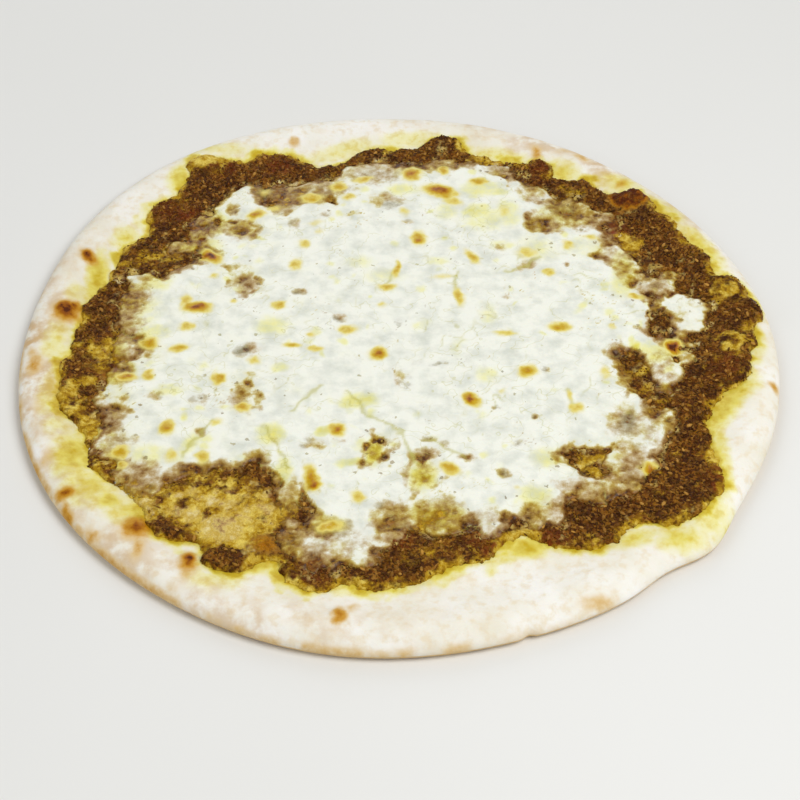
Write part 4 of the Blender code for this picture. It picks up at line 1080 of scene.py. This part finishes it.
def thin_cheese(nodes, thin):
    """Thin cheese over paste: mauve or yellow, ashen well inside, and darker the thinner it is."""
    mauve = nodes.ramp(thin, (
        (0.08, 234, 235, 226), (0.30, 212, 201, 174), (0.52, 184, 158, 110), (0.78, 142, 106, 54),
    ))
    yellow = nodes.ramp(thin, (
        (0.08, 236, 236, 216), (0.30, 212, 202, 148), (0.52, 184, 156, 74), (0.78, 146, 110, 32),
    ))
    ashen = nodes.ramp(thin, ((0.08, 232, 233, 225), (0.30, 206, 204, 186), (0.70, 150, 142, 112)))
    hazy = nodes.blend(nodes.patches(0.0130, 3.0, 0.40, 0.60), mauve, yellow)
    inner = nodes.sum("SUBTRACT", 1.0, nodes.mask("flecks"))
    inner = nodes.sum("MULTIPLY", inner, nodes.patches(0.0170, 2.0, 0.48, 0.60))
    return nodes.blend(inner, hazy, ashen)


def with_flecks(nodes, colour):
    """Specks of herb on a colour, more and browner ones where the mask of flecks is high."""
    near = nodes.add("ShaderNodeTexNoise", (), {"Vector": nodes.place(), "Scale": 700.0}).outputs["Color"]
    shifted = {0: nodes.place(), 1: nodes.scaled(near, 0.0022)}
    near = nodes.add("ShaderNodeVectorMath", {"operation": "ADD"}, shifted).outputs[0]
    dots = nodes.pebbles(0.0046, near)
    chosen = nodes.parts(dots.outputs["Color"])
    chance = nodes.sum("MULTIPLY_ADD", nodes.mask("flecks"), 0.42, chosen["Red"])
    size = nodes.between(chance, 0.42, 1.10, 0.0, 0.19)
    speck = nodes.between(nodes.sum("SUBTRACT", size, dots.outputs["Distance"]), 0.0, 0.04)
    herb = nodes.blend(chosen["Green"], linear(112, 104, 62), linear(180, 170, 100))
    herb = nodes.blend(nodes.sum("MULTIPLY", nodes.mask("flecks"), 0.7), herb, linear(124, 88, 42))
    return nodes.blend(nodes.sum("MULTIPLY", speck, 0.65), colour, herb)


def with_hairs(nodes, colour):
    """Fine olive lines that wander through a colour, and the olive strands."""
    off_line = nodes.sum("ABSOLUTE", nodes.sum("SUBTRACT", nodes.noise(0.0110, 2.0), 0.5))
    hair = nodes.between(off_line, 0.011, 0.0)
    hair = nodes.sum("MULTIPLY", hair, nodes.patches(0.0190, 2.0, 0.42, 0.58))
    hair = nodes.sum("MULTIPLY_ADD", hair, 0.40, nodes.mask("olive"), clamp=True)
    return nodes.blend(hair, colour, linear(190, 186, 102))


def cheese_material():
    """Melted white cheese: milk-white and moist, greyer in patches that are partly painted shade, paste
    showing through where it is thin, stained and browned.
    """
    made, nodes, shader = material("melted cheese")
    # Milk-white that dips greyer in soft patches: partly its own tone, partly painted shade between its
    # lumps.
    milk_white_and_shade = nodes.ramp(nodes.noise(0.0080, 5.0), ((0.30, 215, 218, 206), (0.56, 241, 242, 230)))
    wispy = nodes.stretched(0.0026, 5.0, 1.2, -0.60, 0.65)
    ragged = nodes.sum("MULTIPLY", wispy, nodes.between(nodes.mask("thin"), 0.02, 0.35))
    thin = nodes.sum("ADD", nodes.mask("thin"), ragged)
    colour = nodes.blend(nodes.between(thin, 0.02, 0.28), milk_white_and_shade, thin_cheese(nodes, thin))
    colour = nodes.blend(nodes.between(thin, 0.72, 1.05), colour, herbs_on(nodes)["Colour"])
    colour = with_hairs(nodes, with_flecks(nodes, colour))
    colour, roughness = oiled(nodes, colour, 0.36)
    colour = browned(nodes, colour, (228, 213, 116), (200, 162, 26))
    fine_curd = nodes.sum("MULTIPLY", nodes.noise(0.0009, 2.0), 0.35)
    curd = nodes.sum("ADD", nodes.noise(0.0030, 3.0), fine_curd)
    finish_shader(nodes, shader, colour, roughness, nodes.bump(curd, 0.0005, 0.7), 0.22)
    let_light_in(shader, 0.15, (0.0012, 0.0010, 0.0008))
    return made


def grain_material(name, dark, light, roughness):
    """One kind of small grain: each has its own tone between two colours, golden where the paste is."""
    made, nodes, shader = material(name)
    speckle = nodes.stretched(0.0070, 4.0, 1.4, -0.7)
    tone = nodes.sum("SUBTRACT", nodes.sum("POWER", nodes.mask("tone"), 1.5), speckle, clamp=True)
    colour = nodes.blend(tone, linear(*dark), linear(*light))
    colour = nodes.blend(nodes.sum("MULTIPLY", nodes.mask("red"), 0.6), colour, linear(120, 52, 12))
    gold = nodes.blend(tone, linear(112, 74, 10), linear(184, 140, 42))
    colour = nodes.blend(nodes.sum("MULTIPLY", nodes.mask("golden"), 0.75), colour, gold)
    rough = nodes.patches(0.0015, 2.0, 0.3, 0.7, roughness - 0.08, roughness + 0.08)
    finish_shader(nodes, shader, colour, rough, nodes.bump(nodes.noise(0.0004, 2.0), 0.0001, 0.6), 0.12)
    return made


# --- Pieces ---------------------------------------------------------------------------------------
def bread_rings(reach):
    """The rings of the bread's mesh: how far out each lies, and how high, or None where it is on the top."""
    crest = CREST_INSET * (1 - np.cos(np.linspace(0, math.pi / 2, CREST_RINGS)[:-1]))
    top = [reach - depth for depth in (*crest, *np.arange(CREST_INSET, FINE_DEPTH, FINE_RING))]
    top += [(reach - FINE_DEPTH) * share for share in TOP_SHARES]
    foot = []
    for depth in FOOT_INSET * (1 - np.cos(np.linspace(0, math.pi / 2, FOOT_RINGS)))[1:]:
        across = 1 - depth / FOOT_INSET
        foot.append((reach - depth, EDGE_HEIGHT * (1 - math.sqrt(1 - across**2))))
    foot += [((reach - FOOT_INSET) * share, 0.0) for share in UNDERSIDE_SHARES]
    return [(far, None) for far in top] + foot, len(top)


def make_bread():
    turns = np.arange(BREAD_SECTORS) * math.tau / BREAD_SECTORS
    reach = bread_reach(turns)
    circles, top_count = bread_rings(reach)
    points, under = [], []
    for far, height in circles:
        x, y = far * np.cos(turns), far * np.sin(turns)
        if height is None:
            level = bread_height(x, y) + read(bubbled, x, y)
            level = np.where(far > reach - 1e-9, EDGE_HEIGHT, level)
        else:
            level = np.full_like(x, height)
        points.append(np.stack([x, y, level], axis=1))
        under.append(np.full(BREAD_SECTORS, 0.0 if height is None else 1.0))
    middle_top = len(circles) * BREAD_SECTORS
    points = np.concatenate([*points, [[0, 0, FLOOR_HEIGHT], [0, 0, 0]]])
    under = np.concatenate([*under, [0, 1]])

    step = np.arange(BREAD_SECTORS)
    after = (step + 1) % BREAD_SECTORS
    faces = []
    for ring in range(top_count - 1):
        a, b = ring * BREAD_SECTORS, (ring + 1) * BREAD_SECTORS
        faces.append(np.stack([a + step, a + after, b + after, b + step], axis=1))
    order = [0, *range(top_count, len(circles))]
    for outer, inner in zip(order, order[1:]):
        a, b = outer * BREAD_SECTORS, inner * BREAD_SECTORS
        faces.append(np.stack([a + step, b + step, b + after, a + after], axis=1))
    faces = np.concatenate(faces).tolist()
    a, b = (top_count - 1) * BREAD_SECTORS, (len(circles) - 1) * BREAD_SECTORS
    faces += np.stack([a + step, a + after, np.full_like(step, middle_top)], axis=1).tolist()
    faces += np.stack([b + after, b + step, np.full_like(step, middle_top + 1)], axis=1).tolist()

    x, y = points[:, 0], points[:, 1]
    angle = np.arctan2(y, x)
    depth = bread_reach(angle) - np.hypot(x, y)
    side = heading_bumps(angle, EDGE_TOASTS) * fading(depth, 0.0034) + 0.06 * fading(depth, 0.0020)
    side *= 0.35 + 1.1 * drifts(0.5, 0.75, 0.014, 31, x, y)
    top_toast = np.maximum(side, read(bread_toast, x, y))
    masks = {
        "oil": read(bread_oil, x, y) * (1 - under),
        "toast": np.where(under > 0, UNDERSIDE_TOAST * fading(depth, 0.004), top_toast),
        "blush_and_shade": read(blush_and_shade, x, y) * (1 - under),
        "under": under,
    }
    return mesh_from("bread_surface", points, faces, masks)


def make_paste():
    masks = {"golden": golden, "toast": paste_toast, "film": film, "red": red, "bare": bare}
    return laid_sheet("zaatar_paste", paste_edge, paste_top, bread_top, masks, cheese_edge < CHEESE_HIDES)


def make_cheese():
    masks = {
        "thin": see_through, "toast": blister, "oil": cheese_oil, "golden": golden, "red": red,
        "olive": olive, "flecks": flecks,
    }
    return laid_sheet("melted_cheese", cheese_edge, cheese_top, cheese_under, masks)


bread_piece, paste_piece, cheese_piece = make_bread(), make_paste(), make_cheese()
bread_piece.data.materials.append(bread_material())
paste_piece.data.materials.append(paste_material())
cheese_piece.data.materials.append(cheese_material())

# --- Grains, scattered by Geometry Nodes ----------------------------------------------------------
# Length, width and thickness of a seed and a flake, and how wide a crumb is.
SESAME_SIZE = (0.0030, 0.0019, 0.0012)
FLAKE_SIZE = (0.0017, 0.0009, 0.0003)
FLAKE_CURL = 0.0004
CRUMB_SIZE = 0.0010
# What each kind says of its grains, and its values: the least distance apart, how many on a square metre, the
# smallest and the largest as shares of the size above, how far they are lifted, and how far they tip.
GRAIN_VALUES = ("Spacing", "Density", "Smallest", "Largest", "Lift", "Tilt")
SESAME_VALUES = (0.0026, 60000.0, 0.55, 0.85, 0.0001, 0.35)
THYME_VALUES = (0.0011, 500000.0, 0.6, 1.25, 0.0001, 0.7)
SUMAC_VALUES = (0.0014, 400000.0, 0.6, 1.2, 0.0, 3.0)


def scatter_tree():
    """Instances of one shape over a surface, more of them where its mask is high."""
    tree = bpy.data.node_groups.new("scattered grains", "GeometryNodeTree")
    kinds = {"Surface": "Geometry", "Shape": "Object", **dict.fromkeys(GRAIN_VALUES, "Float")}
    kinds |= {"Seed": "Int", "Material": "Material"}
    for name, kind in kinds.items():
        tree.interface.new_socket(name=name, in_out="INPUT", socket_type="NodeSocket" + kind)
    tree.interface.new_socket(name="Grains", in_out="OUTPUT", socket_type="NodeSocketGeometry")
    nodes = Nodes(tree)
    given = nodes.add("NodeGroupInput").outputs

    def random(kind, low, high, seed):
        """A random value for each grain. Its sockets for vectors come before those for numbers."""
        first, output = (0, 0) if kind == "FLOAT_VECTOR" else (2, 1)
        inputs = {first: low, first + 1: high, "Seed": seed}
        return nodes.add("FunctionNodeRandomValue", {"data_type": kind}, inputs).outputs[output]

    def geometry(kind, settings, inputs):
        return nodes.add("GeometryNode" + kind, settings, inputs).outputs[0]

    bare_parts = nodes.add("GeometryNodeInputNamedAttribute", {"data_type": "FLOAT"}, {"Name": "bare"})
    spread = {
        "Mesh": given["Surface"], "Distance Min": given["Spacing"], "Density Max": given["Density"],
        "Density Factor": bare_parts.outputs["Attribute"], "Seed": given["Seed"],
    }
    apart = {"distribute_method": "POISSON"}
    spread = nodes.add("GeometryNodeDistributePointsOnFaces", apart, spread).outputs
    tipped = nodes.vector({"X": given["Tilt"], "Y": given["Tilt"], "Z": math.pi})
    untipped = nodes.scaled(tipped, -1.0)
    turn = random("FLOAT_VECTOR", untipped, tipped, given["Seed"])
    turned = {"Rotation": spread["Rotation"], "Rotate By": turn}
    turned = nodes.add("FunctionNodeRotateRotation", {"rotation_space": "LOCAL"}, turned).outputs["Rotation"]
    shape = nodes.add("GeometryNodeObjectInfo", (), {"Object": given["Shape"]}).outputs["Geometry"]
    size = random("FLOAT", given["Smallest"], given["Largest"], given["Seed"])
    grains = {"Points": spread["Points"], "Instance": shape, "Rotation": turned, "Scale": size}
    grains = geometry("InstanceOnPoints", (), grains)
    lift = nodes.vector({"Z": given["Lift"]})
    grains = {"Instances": grains, "Translation": lift, "Local Space": False}
    grains = geometry("TranslateInstances", (), grains)
    grains = {"Geometry": grains, "Name": "tone", "Value": random("FLOAT", 0.0, 1.0, 99)}
    grains = geometry("StoreNamedAttribute", {"data_type": "FLOAT", "domain": "INSTANCE"}, grains)
    grains = geometry("RealizeInstances", (), {"Geometry": grains})
    grains = geometry("SetMaterial", (), {"Geometry": grains, "Material": given["Material"]})
    tree.links.new(grains, nodes.add("NodeGroupOutput").inputs["Grains"])
    return tree


SCATTER = scatter_tree()


def scatter(name, ground, shape, look, seed, values):
    """One piece of loose grains on the ground, as a plain mesh."""
    piece = bpy.data.objects.new(name, ground.data.copy())
    bpy.context.scene.collection.objects.link(piece)
    modifier = piece.modifiers.new("grains", "NODES")
    modifier.node_group = SCATTER
    given = {"Shape": shape, "Seed": seed, "Material": look, **dict(zip(GRAIN_VALUES, values))}
    for socket in SCATTER.interface.items_tree:
        if socket.name in given:
            modifier[socket.identifier] = given[socket.name]
    bpy.context.view_layer.update()
    grains = bpy.data.meshes.new_from_object(piece.evaluated_get(bpy.context.evaluated_depsgraph_get()))
    piece.modifiers.remove(modifier)
    base, piece.data = piece.data, grains
    bpy.data.meshes.remove(base)
    return piece


def shape_object(name, bm):
    mesh = bpy.data.meshes.new(name)
    bm.to_mesh(mesh)
    bm.free()
    mesh.shade_smooth()
    return bpy.data.objects.new(name, mesh)


def sesame_shape():
    """A sesame seed, pointed at one end and flattened."""
    length, width, thickness = SESAME_SIZE
    bm = bmesh.new()
    bmesh.ops.create_uvsphere(bm, u_segments=7, v_segments=6, radius=0.5)
    for v in bm.verts:
        along = v.co.z
        taper = 1 - 0.45 * max(0.0, along + 0.1)
        v.co = Vector((length * along, width * taper * v.co.x, thickness * taper * v.co.y))
    bmesh.ops.recalc_face_normals(bm, faces=bm.faces)
    return shape_object("sesame shape", bm)


def flake_shape():
    """A crumpled bit of thyme leaf."""
    length, width, thickness = FLAKE_SIZE
    bm = bmesh.new()
    bmesh.ops.create_icosphere(bm, subdivisions=1, radius=0.5)
    for v in bm.verts:
        x, y, z = v.co
        curl = FLAKE_CURL * (x * x - y * y)
        v.co = Vector((length * x, width * y * (1 + 0.5 * x), thickness * z + curl))
    return shape_object("flake shape", bm)


def crumb_shape():
    """A crumb of sumac, a little flattened."""
    bm = bmesh.new()
    bmesh.ops.create_icosphere(bm, subdivisions=1, radius=0.5)
    for i, v in enumerate(bm.verts):
        v.co *= CRUMB_SIZE * (0.8 + 0.4 * ((i * 7) % 5) / 4)
        v.co.z *= 0.75
    return shape_object("crumb shape", bm)


sesame_look = grain_material("toasted sesame", (104, 64, 14), (192, 142, 64), 0.34)
thyme_look = grain_material("dried thyme", (60, 34, 4), (136, 94, 28), 0.50)
sumac_look = grain_material("sumac crumbs", (62, 28, 4), (134, 78, 22), 0.45)
for piece, node in (
    (bread_piece, "bread"),
    (paste_piece, "zaatar"),
    (cheese_piece, "cheese"),
    (scatter("sesame_seeds", paste_piece, sesame_shape(), sesame_look, 3, SESAME_VALUES), "zaatar"),
    (scatter("thyme_flakes", paste_piece, flake_shape(), thyme_look, 5, THYME_VALUES), "zaatar"),
    (scatter("sumac_crumbs", paste_piece, crumb_shape(), sumac_look, 7, SUMAC_VALUES), "zaatar"),
):
    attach(piece, "root")
    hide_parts(node)

# --- Stage ----------------------------------------------------------------------------------------
# The camera looks at this spot from this far, this steeply, and the spot shows this far above the middle.
LOOK_AT = Vector((0.0005, 0.006, 0))
CAMERA_FAR = 0.750
CAMERA_RISE = math.radians(44)
LENS = 84.9
SENSOR_WIDTH = 36
SPOT_ABOVE_MIDDLE = 50.3 / 800
FLOOR_HALF = 3
# Each light: place, width and power.
LIGHTS = {
    "key light": ((0.55, -0.35, 0.95), 0.7, 8.2),
    "fill light": ((-0.8, -0.5, 0.7), 0.9, 2.6),
    "back light": ((-0.2, 0.9, 0.6), 0.8, 2.6),
}
WORLD_LIGHT = 0.34


def add_camera():
    data = bpy.data.cameras.new("camera")
    data.lens, data.sensor_width, data.shift_y = LENS, SENSOR_WIDTH, -SPOT_ABOVE_MIDDLE
    data.clip_start, data.clip_end = 0.01, 20
    camera = bpy.data.objects.new("camera", data)
    camera.location = LOOK_AT + CAMERA_FAR * Vector((0, -math.cos(CAMERA_RISE), math.sin(CAMERA_RISE)))
    camera.rotation_euler = (math.pi / 2 - CAMERA_RISE, 0, 0)
    bpy.context.scene.collection.objects.link(camera)
    bpy.context.scene.camera = camera


def add_floor():
    mesh = bpy.data.meshes.new("floor")
    corners = [(FLOOR_HALF * x, FLOOR_HALF * y, 0) for x, y in ((-1, -1), (1, -1), (1, 1), (-1, 1))]
    mesh.from_pydata(corners, [], [(0, 1, 2, 3)])
    floor = bpy.data.objects.new("floor", mesh)
    bpy.context.scene.collection.objects.link(floor)
    made, nodes, shader = material("pale floor")
    colour = nodes.blend(nodes.noise(0.30, 2.0), linear(226, 226, 222), linear(234, 234, 231))
    nodes.tree.links.new(colour, shader.inputs["Base Color"])
    shader.inputs["Roughness"].default_value = 0.7
    mesh.materials.append(made)


def add_lights():
    for name, (place, width, power) in LIGHTS.items():
        data = bpy.data.lights.new(name, "AREA")
        data.shape, data.size, data.energy = "DISK", width, power
        light = bpy.data.objects.new(name, data)
        light.location = place
        light.rotation_euler = (-Vector(place)).to_track_quat("-Z", "Y").to_euler()
        bpy.context.scene.collection.objects.link(light)
    world = bpy.data.worlds.new("studio")
    world.use_nodes = True
    background = world.node_tree.nodes["Background"]
    background.inputs["Color"].default_value = (1, 1, 1, 1)
    background.inputs["Strength"].default_value = WORLD_LIGHT
    bpy.context.scene.world = world


add_camera()
add_floor()
add_lights()
bpy.context.scene.view_settings.view_transform = "Standard"
